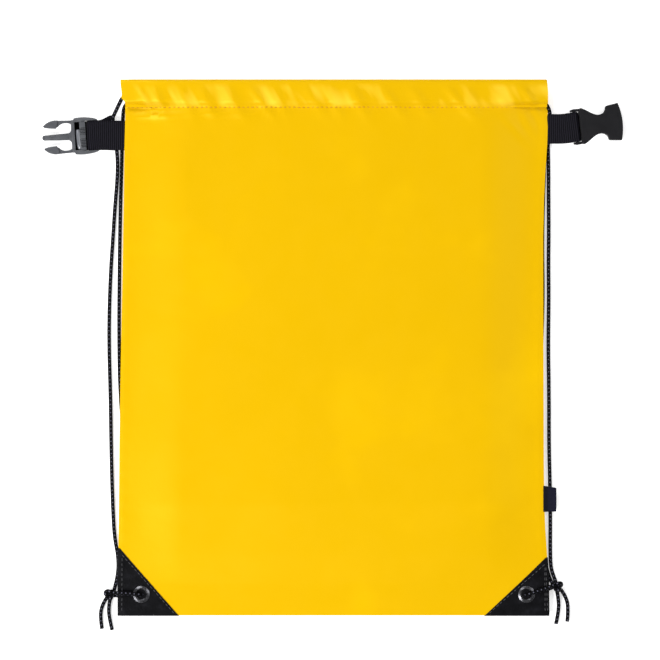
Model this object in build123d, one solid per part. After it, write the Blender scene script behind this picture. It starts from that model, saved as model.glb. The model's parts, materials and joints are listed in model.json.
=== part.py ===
from build123d import *
import math
import os

os.makedirs("parts", exist_ok=True)

# A roll-top drawstring dry bag, lying flat on its back. Millimetres: X across the bag, Y towards its
# mouth, Z up from the surface that it lies on. The origin is the middle of the back panel.

# Bag body
FABRIC = 0.8  # coated cloth with its taped lining
BOTTOM_Y = -222.5
MOUTH_Y = 222.5
HEM_Y = 198.4  # seam between the panels and the mouth hem
FIRST_FOLD_Y = 157.5  # the mouth rolls over here first
SECOND_FOLD_Y = 92.5  # and then here
FOLD_GAP = 0.15  # each side of a fold line
SEAM_Z = 4.6  # underside of the side seams, held off the ground by the cords
SEAM_WIDTH = 9.0
BELLY_INSET = 26.0  # where the back panel meets the ground, in from the edge
CROWN_INSET = 52.0  # where the front panel is at its full height
CROWN_Z = 12.0

# Mouth hem: a flat channel on each panel, with the drawcords inside
HEM_WALL = 0.6
HEM_HEIGHT = 4.8
FRONT_HEM_Z = 9.2
CHANNEL_HALF = 150.0  # the channels' inner cloth stops here, so that a cord can turn back
FRONT_HEM_ENDS = [(-177.6, MOUTH_Y), (-174.2, HEM_Y), (177.0, HEM_Y), (177.4, MOUTH_Y)]
BACK_HEM_ENDS = [(-170.0, MOUTH_Y), (-170.0, HEM_Y), (170.0, HEM_Y), (170.0, MOUTH_Y)]
STITCH_LENGTH = 2.6
STITCH_PITCH = 4.3
STITCH_WIDTH = 0.6
STITCH_HEIGHT = 0.35

# Cord, corner patches, eyelets
CORD = 3.2
PATCH = 0.6
PATCH_LEG_LEFT = (50.0, 57.0)  # along the bottom edge, up the side
PATCH_LEG_RIGHT = (53.0, 51.0)
EYELET = (160.0, -205.0)
EYELET_BORE = 4.0
EYELET_FLANGE = 7.0
KNOT = 6.0

# Webbing straps
WEBBING = 1.3
WEBBING_WIDTH = 24.4
BAR = 1.5  # radius of the bar that the webbing folds round
WRAP = BAR + 0.3 + WEBBING / 2  # radius of the webbing's middle round the bar
STRAP_GAP = 0.3

# Where the two buckle halves lie: bar centre and turn about Z
MALE_AT = (-202.3, 175.3, 3.5)
MALE_TURN = 185.5
FEMALE_AT = (201.0, 183.3, 4.7)
FEMALE_TURN = 7.0

# Side-release buckle, lengths measured forward from the bar
FRAME_HALF = 15.2
RAIL = 2.6
FRAME_THICK = 5.0
FRAME_BACK = -5.6
FRAME_FRONT = 16.4
ARM_THICK = 3.6
ARM_ROOT = (15.0, 13.4)
ARM_KNUCKLE = 1.3
ARM_RAIL_OUT = 12.4
BARB_AT = 28.0
BARB_OUT = 13.4
BARB_IN = 7.4
ARM_TIP = 40.1
PRONG_ROOT_HALF = 2.8
PRONG_TIP_HALF = 2.2
SOCKET_THICK = 8.6
SOCKET_BACK = 3.6
SOCKET_SHOULDER = (6.0, 14.9)
SOCKET_WAIST = (20.0, 7.8)
SOCKET_CATCH = (26.3, 14.3)
SOCKET_LIP = (36.6, 15.6)
SOCKET_MOUTH = 39.0
CAVITY_HALF = 12.7
CAVITY_HEIGHT = 4.8
CAVITY_END = 13.0

# Side label
LABEL_Y = (-136.5, -114.9)
LABEL_REACH = 10.2
LABEL_CLOTH = 0.6

# The bag's plan along Y: left edge, right edge, underside, top of the front panel
STATIONS = [
    (BOTTOM_Y, -179.3, 178.0, SEAM_Z, SEAM_Z + 2 * FABRIC),
    (-196.0, -179.3, 177.6, SEAM_Z, SEAM_Z + 2 * FABRIC),
    (-172.0, -179.2, 176.0, 0.0, 9.0),
    (-130.0, -178.7, 173.9, 0.0, CROWN_Z),
    (-30.0, -177.5, 173.9, 0.0, CROWN_Z),
    (SECOND_FOLD_Y, -175.3, 173.9, 0.0, CROWN_Z),
    (FIRST_FOLD_Y, -174.3, 175.0, 0.0, CROWN_Z),
    (HEM_Y, -174.2, 177.0, 0.0, CROWN_Z),
]


def face_at(y, outline):
    """Flat face across the bag at y from its (x, z) corners."""
    corners = [(x, y, z) for x, z in outline]
    return make_face(Polyline(*corners, close=True))


def back_line(left, right, under):
    """Underside of the back panel from edge to edge."""
    seam = [(left, SEAM_Z), (left + SEAM_WIDTH, SEAM_Z), (left + BELLY_INSET, under)]
    return seam + [(right - BELLY_INSET, under), (right - SEAM_WIDTH, SEAM_Z), (right, SEAM_Z)]


def front_line(left, right, top):
    """Upper side of the front panel from edge to edge."""
    seam_top = SEAM_Z + 2 * FABRIC
    rise = [(left, seam_top), (left + SEAM_WIDTH, seam_top), (left + CROWN_INSET, top)]
    return rise + [(right - CROWN_INSET, top), (right - SEAM_WIDTH, seam_top), (right, seam_top)]


def shift(line, dz):
    return [(x, z + dz) for x, z in line]


def panel(stations, front):
    """One length of the front or back panel, lofted through its stations."""
    faces = []
    for y, left, right, under, top in stations:
        if front:
            low = shift(front_line(left, right, top), -FABRIC)
        else:
            low = back_line(left, right, under)
        faces.append(face_at(y, low + shift(low, FABRIC)[::-1]))
    return loft(faces, ruled=True)


def bag_block(stations, grow):
    """The bag's outside as one solid, grown all round."""
    faces = []
    for index, (y, left, right, under, top) in enumerate(stations):
        back = shift(back_line(left - grow, right + grow, under), -grow)
        front = shift(front_line(left - grow, right + grow, top), grow)
        faces.append(face_at(y - grow if index == 0 else y, back + front[::-1]))
    return loft(faces, ruled=True)


def between(low_y, high_y):
    """The stations of one length of the bag, with a gap at a fold."""
    chosen = [s for s in STATIONS if low_y <= s[0] <= high_y]
    first, last = chosen[0], chosen[-1]
    if low_y != BOTTOM_Y:
        chosen[0] = (low_y + FOLD_GAP, *first[1:])
    if high_y != HEM_Y:
        chosen[-1] = (high_y - FOLD_GAP, *last[1:])
    return chosen


def hem(low_z, inner_low_z, ends):
    """Folded channel: a closed tube, with the cloth towards the bag's inside cut short at both ends."""
    depth = MOUTH_Y - HEM_Y
    middle = (MOUTH_Y + HEM_Y) / 2
    outer = RectangleRounded(depth, HEM_HEIGHT, 1.6)
    inner = RectangleRounded(depth - 2 * HEM_WALL, HEM_HEIGHT - 2 * HEM_WALL, 1.0)
    profile = Plane.YZ.offset(-190) * Pos(middle, low_z + HEM_HEIGHT / 2) * (outer - inner)
    tube = extrude(profile, amount=380)
    plan = extrude(make_face(Polyline(*ends, close=True)), amount=30)
    tube = tube & plan
    notch = Box(40, depth - 5.0, HEM_WALL + 1.0)
    for side in (-1, 1):
        tube -= Pos(side * (CHANNEL_HALF + 20), middle, inner_low_z) * notch
    return tube


def stitch():
    """One stitch of thick thread, lying along X."""
    return Box(STITCH_LENGTH, STITCH_WIDTH, STITCH_HEIGHT)


def stitch_row(start, end, z):
    """Stitches in a row from start to end on a level surface."""
    start, end = Vector(*start, z + STITCH_HEIGHT / 2), Vector(*end, z + STITCH_HEIGHT / 2)
    run = end - start
    turn = math.degrees(math.atan2(run.Y, run.X))
    count = int(run.length / STITCH_PITCH)
    at = [start + run * ((i + 0.5) / count) for i in range(count)]
    return [Location(tuple(p), (0, 0, turn)) * stitch() for p in at]


def corner_patch(side):
    """Triangular patch folded round a bottom corner, front and back in one piece."""
    stations = STATIONS[:4]
    skin = bag_block(stations, PATCH) - bag_block(stations, 0)
    if side < 0:
        edge, (along, up) = STATIONS[0][1] - 5, PATCH_LEG_LEFT
    else:
        edge, (along, up) = STATIONS[0][2] + 5, PATCH_LEG_RIGHT
    slope = up / along
    low = BOTTOM_Y - 5
    reach = along + 5 + 5 / slope
    rise = up + 5 + 5 * slope
    corners = [(edge, low), (edge - side * reach, low), (edge, low + rise)]
    prism = Pos(0, 0, -2) * extrude(make_face(Polyline(*corners, close=True)), amount=30)
    return (skin & prism) - eyelet_hole(side)


def eyelet_hole(side):
    return Pos(side * EYELET[0], EYELET[1], 5) * Cylinder(EYELET_BORE + 0.6, 20)


def eyelet(side):
    """Eyelet barrel with a rolled flange on the front."""
    low = SEAM_Z - PATCH
    top = SEAM_Z + 2 * FABRIC + PATCH
    wall = EYELET_BORE + 0.6
    profile = Polyline(
        (EYELET_BORE, low - 0.35), (wall, low - 0.35), (wall, top), (EYELET_FLANGE, top),
        (EYELET_FLANGE, top + 0.3), (EYELET_FLANGE - 1.6, top + 1.0), (EYELET_BORE + 0.9, top + 1.0),
        (EYELET_BORE, top + 0.4), close=True)
    ring = revolve(Plane.XZ * make_face(profile), axis=Axis.Z)
    return Pos(side * EYELET[0], EYELET[1], 0) * ring


def eyelet_washer(side):
    """Flat ring that the barrel is rolled over at the back."""
    top = SEAM_Z - PATCH
    ring = Cylinder(EYELET_FLANGE, 0.35) - Cylinder(EYELET_BORE + 0.6, 1)
    return Pos(side * EYELET[0], EYELET[1], top - 0.175) * ring


# Routes of the two drawcords, from the knot up the outer strand, through the front channel, round at
# the far side, back through the back channel and down the inner strand to the knot.
LEFT_ROUTE = [
    (-183.2, -203.0, 2.2), (-179.6, -190.0, 1.9), (-179.4, -174.0, 1.9), (-182.2, -160.0, 1.9),
    (-183.4, -146.0, 1.9), (-184.5, -118.0, 1.9), (-185.4, -80.0, 1.9), (-185.9, -40.0, 1.9),
    (-187.1, -2.0, 1.9), (-187.0, 30.0, 1.9), (-185.6, 66.0, 1.9), (-183.8, 92.0, 1.9),
    (-182.3, 116.0, 1.9), (-180.2, 140.0, 1.9), (-179.9, 158.0, 1.9), (-181.2, 174.0, 1.9),
    (-184.4, 191.0, 2.0), (-178.6, 203.5, 8.6), (-166.0, 207.5, 11.6), (158.0, 207.5, 11.6),
    (158.0, 207.5, 2.4), (-166.0, 207.5, 2.4), (-175.2, 201.5, 2.3), (-176.8, 189.0, 1.9),
    (-176.2, 173.0, 1.9), (-176.4, 157.0, 1.9), (-177.3, 128.0, 1.9), (-178.0, 98.0, 1.9),
    (-178.5, 60.0, 1.9), (-178.9, 14.0, 1.9), (-178.2, -32.0, 1.9), (-175.2, -76.0, 1.9),
    (-173.2, -118.0, 1.9), (-172.8, -156.0, 1.9), (-174.6, -180.0, 1.9), (-180.4, -196.0, 2.0),
]
RIGHT_ROUTE = [
    (183.6, -192.0, 2.2), (180.9, -180.0, 1.9), (180.4, -164.0, 1.9), (180.0, -146.0, 1.9),
    (179.8, -118.0, 1.9), (178.8, -80.0, 1.9), (178.9, -40.0, 1.9), (178.2, 2.0, 1.9),
    (178.7, 40.0, 1.9), (178.4, 70.0, 1.9), (178.7, 98.0, 1.9), (178.5, 126.0, 1.9),
    (179.1, 150.0, 1.9), (180.4, 170.0, 1.9), (181.6, 196.0, 2.0), (179.6, 207.0, 8.4),
    (166.0, 212.5, 11.5), (150.0, 214.0, 11.6), (-158.0, 214.0, 11.6), (-158.0, 214.0, 2.4),
    (152.0, 214.0, 2.4), (164.0, 211.5, 2.4), (173.4, 202.0, 2.2), (175.8, 188.0, 1.9),
    (175.4, 170.0, 1.9), (175.1, 150.0, 1.9), (173.8, 118.0, 1.9), (173.3, 84.0, 1.9),
    (173.9, 40.0, 1.9), (172.4, -4.0, 1.9), (171.9, -48.0, 1.9), (171.2, -92.0, 1.9),
    (172.2, -134.0, 1.9), (174.2, -166.0, 1.9), (176.4, -182.0, 1.9), (180.0, -194.0, 2.0),
]
# The loop that runs from each knot under the corner, up through the eyelet and back over the patch
LEFT_LOOP = [
    (-184.0, -206.0, 2.2), (-176.0, -207.0, 1.9), (-159.8, -205.2, 1.9), (-159.8, -205.2, 9.6),
    (-176.0, -203.6, 9.6), (-184.0, -203.6, 8.4),
]
RIGHT_LOOP = [
    (183.0, -199.0, 2.2), (175.0, -202.6, 1.9), (159.8, -205.2, 1.9), (159.8, -205.2, 9.6),
    (175.0, -200.2, 9.6), (183.0, -197.0, 8.4),
]
LEFT_KNOT_AT = (-186.4, -205.0, 5.6)
RIGHT_KNOT_AT = (185.6, -198.2, 5.6)
LEFT_TAILS = [
    [(-189.0, -208.0, 3.6), (-193.0, -214.0, 2.2), (-194.5, -224.0, 1.9), (-193.0, -234.0, 1.9)],
    [(-186.0, -209.0, 3.6), (-187.5, -215.0, 2.2), (-187.0, -225.0, 1.9), (-184.5, -235.0, 1.9)],
]
RIGHT_TAILS = [
    [(188.5, -201.0, 3.6), (193.0, -207.0, 2.2), (195.0, -217.0, 1.9), (194.0, -228.0, 1.9)],
    [(185.4, -202.5, 3.6), (186.8, -209.0, 2.2), (187.0, -219.0, 1.9), (184.6, -230.0, 1.9)],
]


def cord(points, name):
    """Round cord along a route, every corner an arc as large as its two runs allow."""
    at = [Vector(p) for p in points]
    runs = [b - a for a, b in zip(at, at[1:])]
    radii = []
    for before, after in zip(runs, runs[1:]):
        half_turn = math.radians(before.get_angle(after)) / 2
        radii.append(0.45 * min(before.length, after.length) / math.tan(half_turn))
    path = FilletPolyline(*points, radius=radii)
    solid = sweep(Plane(origin=path @ 0, z_dir=path % 0) * Circle(CORD / 2), path=path)
    share = solid.volume / (math.pi * CORD**2 / 4 * path.length)
    print(name, "length", round(path.length, 1), "volume share", round(share, 4))
    print("  radii", [round(r, 1) for r in radii])
    return solid


def cut_lengths(solid):
    """A drawcord cut at the two fold lines: lower, middle and upper lengths."""
    bounds = [(-300, SECOND_FOLD_Y), (SECOND_FOLD_Y, FIRST_FOLD_Y), (FIRST_FOLD_Y, 300)]
    pieces = []
    for low, high in bounds:
        length = high - low - 2 * FOLD_GAP
        slab = Pos(0, (low + high) / 2, 0) * Box(600, length, 60)
        pieces.append(solid & slab)
    return pieces


def knot(at):
    """Overhand knot pulled tight: two crossing turns of cord round a small core."""
    core = Sphere(KNOT - 1.4)
    turn = Torus(KNOT - 2.6, 2.4)
    for tilt in (35, -35):
        core += Rot(tilt, 20, 0) * turn
    return Pos(*at) * core


def webbing(upper_run, lower_run):
    """Webbing folded round the bar at the local origin, from its two runs' points in (along, up)."""
    top = Polyline(*upper_run, (-6.0, WRAP), (0.0, WRAP))
    wrap = ThreePointArc((0.0, WRAP), (WRAP, 0.0), (0.0, -WRAP))
    low = Polyline((0.0, -WRAP), *lower_run)
    face = trace(Curve() + [top, wrap, low], line_width=WEBBING)
    return extrude(Plane.XZ * face, amount=WEBBING_WIDTH / 2, both=True)


def strap_left():
    """Left strap: sewn into the side seam, round the male half's bar, with its tail underneath."""
    root = SEAM_Z + FABRIC - MALE_AT[2]
    band = webbing([(-40.0, root)], [(-15.5, -WRAP)])
    band = Location(MALE_AT, (0, 0, MALE_TURN)) * band
    edge = STATIONS[-1][1] - STRAP_GAP
    return band & (Pos(edge - 50, MALE_AT[1], 5) * Box(100, 60, 40))


def strap_right():
    """Right strap: both ends sewn into the side seam, closed round the female half's bar."""
    low = 0.2  # height of the lower layer over the bar's level where it clears the cords
    layers = WEBBING + 0.1
    band = webbing([(-32.0, low + layers), (-17.0, low + layers)],
                   [(-6.0, -WRAP), (-17.0, low), (-32.0, low)])
    band = Location(FEMALE_AT, (0, 0, FEMALE_TURN)) * band
    edge = 176.4 + STRAP_GAP
    return band & (Pos(edge + 50, FEMALE_AT[1], 5) * Box(100, 60, 40))


def prism(outline, low, high):
    """Upright solid from an outline in plan."""
    return Pos(0, 0, low) * extrude(make_face(outline), amount=high - low)


def buckle_frame():
    """Male half without its arms: side rails, bars, ribs, front block and centre prong."""
    half = FRAME_THICK / 2
    long, middle = FRAME_FRONT - FRAME_BACK, (FRAME_FRONT + FRAME_BACK) / 2
    plate = Pos(middle, 0) * RectangleRounded(long, 2 * FRAME_HALF, 2.2)
    inside = FRAME_HALF - RAIL
    window = Pos(-1.0, 0) * RectangleRounded(9.4, 2 * inside, 0.8)
    open_back = Pos(FRAME_BACK - 1, 0) * Rectangle(6.0, 2 * inside)
    slot = Pos(10.3, 0) * RectangleRounded(2.6, 2 * inside - 3, 1.1)
    relief = Pos(11.4, -8.2) * RectangleRounded(3.6, 6.4, 1.5)
    body = extrude(plate - window - open_back - slot - relief, amount=half, both=True)
    rim = body.edges().group_by(Axis.Z)[-1] + body.edges().group_by(Axis.Z)[0]
    rim = rim.filter_by(lambda e: abs(e.center().Y) > FRAME_HALF - 0.4)
    body = fillet(rim, 0.9)
    body += Cylinder(BAR, 2 * inside + 0.4, rotation=(90, 0, 0))
    gloss = Cylinder(1.9, 2 * inside - 3.5, rotation=(90, 0, 0))
    body += Pos(7.8, 0, 1.2) * gloss
    for group in (-5.2, 5.2):
        for index in range(-2, 3):
            rib = Box(4.0, 0.8, 1.0) + Pos(0, 0, 0.5) * Cylinder(0.4, 4.0, rotation=(0, 90, 0))
            body += Pos(5.6, group + 1.7 * index, half) * rib
    taper = Polyline(
        (FRAME_FRONT - 1, -PRONG_ROOT_HALF), (ARM_TIP, -PRONG_TIP_HALF),
        (ARM_TIP, PRONG_TIP_HALF), (FRAME_FRONT - 1, PRONG_ROOT_HALF), close=True)
    prong = prism(taper, -ARM_THICK / 2, ARM_THICK / 2)
    prong = fillet(prong.edges().filter_by(Axis.Z).group_by(Axis.X)[-1], 1.4)
    prong = fillet(prong.edges().group_by(Axis.Z)[-1], 0.7)
    body += prong
    for side in (-1, 1):
        at = (ARM_ROOT[0], side * ARM_ROOT[1])
        seat = Pos(*at) * Cylinder(ARM_KNUCKLE + 0.3, 20)
        way = Pos(at[0] + 5, side * (ARM_ROOT[1] + 0.8)) * Box(10, 5.4, 20)
        body -= seat + way
    return body


def buckle_arm(side):
    """Sprung arm: round root, thin rail and a leaf-shaped barbed head."""
    root_x, root_y = ARM_ROOT
    tip_y = 9.2
    outside = Polyline(
        (root_x, root_y + ARM_KNUCKLE), (BARB_AT - 0.2, ARM_RAIL_OUT), (BARB_AT, BARB_OUT))
    flank = ThreePointArc((BARB_AT, BARB_OUT), (ARM_TIP - 5.4, 12.6), (ARM_TIP, tip_y))
    nose = ThreePointArc((ARM_TIP, tip_y), (ARM_TIP - 0.5, tip_y - 1.1), (ARM_TIP - 2.2, tip_y - 1.3))
    inner = Line((ARM_TIP - 2.2, tip_y - 1.3), (BARB_AT + 1.0, BARB_IN))
    heel = Line((BARB_AT + 1.0, BARB_IN), (BARB_AT - 0.4, BARB_IN + 1.4))
    hollow = ThreePointArc(
        (BARB_AT - 0.4, BARB_IN + 1.4), (BARB_AT - 4.4, 10.2), (root_x, root_y - ARM_KNUCKLE))
    knuckle = ThreePointArc(
        (root_x, root_y - ARM_KNUCKLE), (root_x - ARM_KNUCKLE, root_y), (root_x, root_y + ARM_KNUCKLE))
    face = make_face(Curve() + [outside, flank, nose, inner, heel, hollow, knuckle])
    arm = extrude(face, amount=ARM_THICK / 2, both=True)
    ends = arm.edges().group_by(Axis.Z)
    flanks = [e for e in ends[-1] + ends[0] if e.center().X > BARB_AT + 2 and e.length > 11.5]
    arm = chamfer(flanks, 0.7)
    return arm if side > 0 else mirror(arm, about=Plane.XZ)


def socket_outline():
    """Half outline of the female half, mirrored into a closed one."""
    shoulder, waist, catch, lip = SOCKET_SHOULDER, SOCKET_WAIST, SOCKET_CATCH, SOCKET_LIP
    edges = []
    for side in (1, -1):
        edges += [
            ThreePointArc((SOCKET_BACK, side * (shoulder[1] - 1.6)),
                          (SOCKET_BACK + 0.8, side * (shoulder[1] - 0.3)), (shoulder[0], side * shoulder[1])),
            Spline((shoulder[0], side * shoulder[1]), (14.6, side * 9.6), (waist[0], side * waist[1]),
                   (24.2, side * 9.4), (catch[0] - 0.4, side * (catch[1] - 1.0))),
            Line((catch[0] - 0.4, side * (catch[1] - 1.0)), (catch[0] + 0.4, side * catch[1])),
            Line((catch[0] + 0.4, side * catch[1]), (lip[0], side * lip[1])),
        ]
    edges.append(ThreePointArc((lip[0], lip[1]), (SOCKET_MOUTH, 0), (lip[0], -lip[1])))
    edges.append(Line((SOCKET_BACK, shoulder[1] - 1.6), (SOCKET_BACK, 1.6 - shoulder[1])))
    return edges


def buckle_socket():
    """Female half: waisted hollow housing, guide ribs, ears and the webbing's bar."""
    half = SOCKET_THICK / 2
    shell = extrude(make_face(Curve() + socket_outline()), amount=half, both=True)
    rim = shell.edges().group_by(Axis.Z)
    shell = fillet(rim[-1] + rim[0], 0.9)
    cavity = Box(SOCKET_MOUTH + 1 - CAVITY_END, 2 * CAVITY_HALF, CAVITY_HEIGHT)
    shell -= Pos((SOCKET_MOUTH + 1 + CAVITY_END) / 2, 0, 0) * cavity
    window = Box(SOCKET_CATCH[0] - CAVITY_END, 40, CAVITY_HEIGHT)
    shell -= Pos((SOCKET_CATCH[0] + CAVITY_END) / 2, 0, 0) * window
    for side in (-1, 1):
        guide = Box(SOCKET_LIP[0] - 2 - CAVITY_END, 1.1, CAVITY_HEIGHT + 1)
        shell += Pos((SOCKET_LIP[0] - 2 + CAVITY_END) / 2, side * 3.85, 0) * guide
        ear = Polyline(
            (-3.4, side * 12.7), (7.0, side * 12.7), (7.0, side * 14.6), (3.4, side * 14.6),
            (-0.5, side * 14.9), (-3.4, side * 14.2), close=True)
        shell += prism(ear, -3.0, 3.0)
    shell += Cylinder(BAR, 26.4, rotation=(90, 0, 0))
    return shell


def label():
    """Woven label, folded double, its ends in the right side seam."""
    edge = 173.9 + STRAP_GAP
    low, high = SEAM_Z + 0.3, SEAM_Z + 1.5
    tip = edge + LABEL_REACH - LABEL_CLOTH / 2
    fold = (high - low) / 2
    line = Curve() + [
        Line((edge, low), (tip - fold, low)),
        ThreePointArc((tip - fold, low), (tip, (low + high) / 2), (tip - fold, high)),
        Line((tip - fold, high), (edge, high)),
    ]
    face = trace(line, line_width=LABEL_CLOTH)
    height = LABEL_Y[1] - LABEL_Y[0]
    return extrude(Plane.XZ.offset(-LABEL_Y[1]) * face, amount=height)


def save(solids, node):
    """Writes one node; its name is carried by the file and the shape."""
    shape = Compound(children=solids) if isinstance(solids, list) else solids
    shape.label = node
    export_step(shape, f"parts/{node}.step")


lengths = {
    "lower": between(BOTTOM_Y, SECOND_FOLD_Y),
    "middle": between(SECOND_FOLD_Y, FIRST_FOLD_Y),
    "top": between(FIRST_FOLD_Y, HEM_Y),
}
holes = eyelet_hole(-1) + eyelet_hole(1)
for part, stations in lengths.items():
    for face_name, is_front in (("front", True), ("back", False)):
        cloth = panel(stations, is_front)
        if part == "lower":
            cloth -= holes
        save(cloth, f"{face_name}_panel_{part}")

save(hem(FRONT_HEM_Z, FRONT_HEM_Z, FRONT_HEM_ENDS), "front_mouth_hem")
save(hem(0.0, HEM_HEIGHT, BACK_HEM_ENDS), "back_mouth_hem")
row_y = HEM_Y + 1.6
save(stitch_row((-172, row_y), (174, row_y), FRONT_HEM_Z + HEM_HEIGHT), "front_hem_stitching")

for side, name in ((-1, "left"), (1, "right")):
    save(corner_patch(side), f"corner_patch_{name}")
    save(eyelet(side), f"eyelet_{name}")
    save(eyelet_washer(side), f"eyelet_washer_{name}")

for name, route, loop, tails, at in (
        ("left", LEFT_ROUTE, LEFT_LOOP, LEFT_TAILS, LEFT_KNOT_AT),
        ("right", RIGHT_ROUTE, RIGHT_LOOP, RIGHT_TAILS, RIGHT_KNOT_AT)):
    for part, piece in zip(("lower", "middle", "upper"), cut_lengths(cord(route, f"drawcord {name}"))):
        save(piece, f"drawcord_{name}_{part}")
    save(cord(loop, f"loop {name}"), f"cord_loop_{name}")
    save([cord(tail, f"tail {name}") for tail in tails], f"cord_tails_{name}")
    save(knot(at), f"cord_knot_{name}")

save(strap_left(), "webbing_left")
save(strap_right(), "webbing_right")

male = Location(MALE_AT, (0, 0, MALE_TURN))
save(male * buckle_frame(), "buckle_male_frame")
save(male * buckle_arm(-1), "buckle_arm_upper")
save(male * buckle_arm(1), "buckle_arm_lower")
save(Location(FEMALE_AT, (0, 0, FEMALE_TURN)) * buckle_socket(), "buckle_female")
save(label(), "side_label")
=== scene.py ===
import math
import json
import random

import bmesh
import bpy
from mathutils import Matrix, Vector


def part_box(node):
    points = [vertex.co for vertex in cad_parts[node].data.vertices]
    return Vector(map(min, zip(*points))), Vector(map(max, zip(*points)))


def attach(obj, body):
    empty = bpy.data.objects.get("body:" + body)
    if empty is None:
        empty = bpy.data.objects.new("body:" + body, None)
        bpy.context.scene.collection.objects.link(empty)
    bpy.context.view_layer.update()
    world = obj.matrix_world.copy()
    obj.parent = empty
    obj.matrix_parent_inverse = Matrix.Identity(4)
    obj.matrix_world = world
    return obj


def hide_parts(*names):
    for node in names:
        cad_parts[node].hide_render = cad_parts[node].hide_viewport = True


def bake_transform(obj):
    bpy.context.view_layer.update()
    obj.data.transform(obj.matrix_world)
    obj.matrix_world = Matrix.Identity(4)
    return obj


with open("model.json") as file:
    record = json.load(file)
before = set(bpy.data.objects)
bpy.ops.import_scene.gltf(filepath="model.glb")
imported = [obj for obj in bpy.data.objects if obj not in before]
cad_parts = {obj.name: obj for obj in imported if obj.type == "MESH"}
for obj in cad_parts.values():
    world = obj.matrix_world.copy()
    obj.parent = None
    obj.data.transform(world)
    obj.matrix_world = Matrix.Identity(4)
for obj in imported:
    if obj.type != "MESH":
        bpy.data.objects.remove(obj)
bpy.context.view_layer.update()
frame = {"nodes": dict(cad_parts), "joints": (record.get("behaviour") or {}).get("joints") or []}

bl_info = {
    "name": "Drawstring roll-top dry bag",
    "version": (1, 0, 0),
    "blender": (4, 5, 0),
    "location": "View3D > Sidebar > Dry bag",
    "description": "Cloth, cords, webbing and finishes of a flat drawstring dry bag",
    "category": "Object",
}

MM = 0.001
BOTTOM_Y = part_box("back_panel_lower")[0][1]
MOUTH_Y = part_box("front_mouth_hem")[1][1]
HEM_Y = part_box("front_mouth_hem")[0][1]
FIRST_FOLD = next(j for j in frame["joints"] if j["name"] == "first_fold")["pos_m"][1]
SECOND_FOLD = next(j for j in frame["joints"] if j["name"] == "second_fold")["pos_m"][1]
CLOTH_SPLIT = (FIRST_FOLD + SECOND_FOLD) / 2
SEAM_LOW = 4.6 * MM
SEAM_TOP = 6.2 * MM
STITCH_Y = HEM_Y + 0.9 * MM
HEM_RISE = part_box("front_mouth_hem")[1][2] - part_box("front_panel_top")[1][2]
HEM_END = 12.4 * MM
BRAID_PITCH = 3.4 * MM
BAG_WIDTH = 352 * MM
CORD_STEP, LOOP_STEP = 1.5 * MM, 0.8 * MM
EDGE_DEPTH = 3.0 * MM
BAR_RADIUS, BAR_GAP = 1.5 * MM, 0.3 * MM
MALE_AT = Vector((-202.3, 175.3, 3.5)) * MM
MALE_BAR = MALE_AT + Vector((0, 1.0, 0)) * MM
MALE_TURN = 183.3
FEMALE_AT = Vector((201.0, 183.3, 4.7)) * MM
FEMALE_TURN = 7.0

# Edges of the flat bag along Y, and the heights of its two faces, in millimetres
LEFT_EDGE = [(-222.5, -179.4), (-180, -179.3), (-130, -178.7), (-80, -178.3), (-30, -177.5), (20, -176.6),
             (60, -175.7), (92.5, -175.2), (125, -174.6), (157.5, -174.3), (190, -173.5), (204.6, -173.4),
             (206.4, -176.6), (210, -176.0), (222.5, -177.5)]
RIGHT_EDGE = [(-222.5, 178.6), (-190, 178.2), (-172, 177.1), (-150, 175.6), (-130, 174.8), (-95, 174.4), (60, 173.9),
              (92.5, 173.9), (125, 174.7), (140, 175.4), (157.5, 176.5), (170, 177.2), (183, 177.6),
              (198.4, 177.6), (212, 177.6), (222.5, 176.8)]
FACE_TOP = [(-222.5, 6.2), (-196, 6.2), (-172, 9.0), (-130, 12.0), (222.5, 12.0)]
FACE_UNDER = [(-222.5, 4.6), (-196, 4.6), (-172, 0.05), (222.5, 0.05)]

# Cord routes, each the control points of a smooth curve close to the frame's tubes, in millimetres
LEFT_ROUTE = [
    (-183.2, -203.0, 2.2), (-179.6, -190.0, 1.9), (-179.4, -174.0, 1.9), (-182.2, -160.0, 1.9),
    (-183.4, -146.0, 1.9), (-184.5, -118.0, 1.9), (-185.4, -80.0, 1.9), (-185.9, -40.0, 1.9),
    (-187.1, -2.0, 1.9), (-187.0, 30.0, 1.9), (-185.6, 66.0, 1.9), (-183.8, 92.0, 1.9),
    (-182.3, 116.0, 1.9), (-180.2, 140.0, 1.9), (-179.9, 158.0, 1.9), (-182.0, 174.0, 1.9),
    (-185.6, 186.4, 1.9), (-184.0, 191.5, 2.4), (-177.9, 203.6, 6.5), (-175.6, 208.0, 8.6),
    (-170.0, 208.2, 10.6), (-160.0, 207.5, 11.6), (149.0, 207.5, 11.6), (158.0, 207.5, 11.6),
    (158.0, 207.5, 2.4), (149.0, 207.5, 2.4), (-166.0, 207.5, 2.4), (-174.9, 201.5, 2.3), (-175.7, 189.0, 1.9),
    (-176.2, 173.0, 1.9), (-176.4, 157.0, 1.9), (-177.3, 128.0, 1.9), (-178.0, 98.0, 1.9),
    (-178.5, 60.0, 1.9), (-178.9, 14.0, 1.9), (-178.2, -32.0, 1.9), (-175.2, -76.0, 1.9),
    (-173.2, -118.0, 1.9), (-172.8, -156.0, 1.9), (-174.6, -180.0, 1.9), (-180.4, -196.0, 2.0),
]
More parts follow.
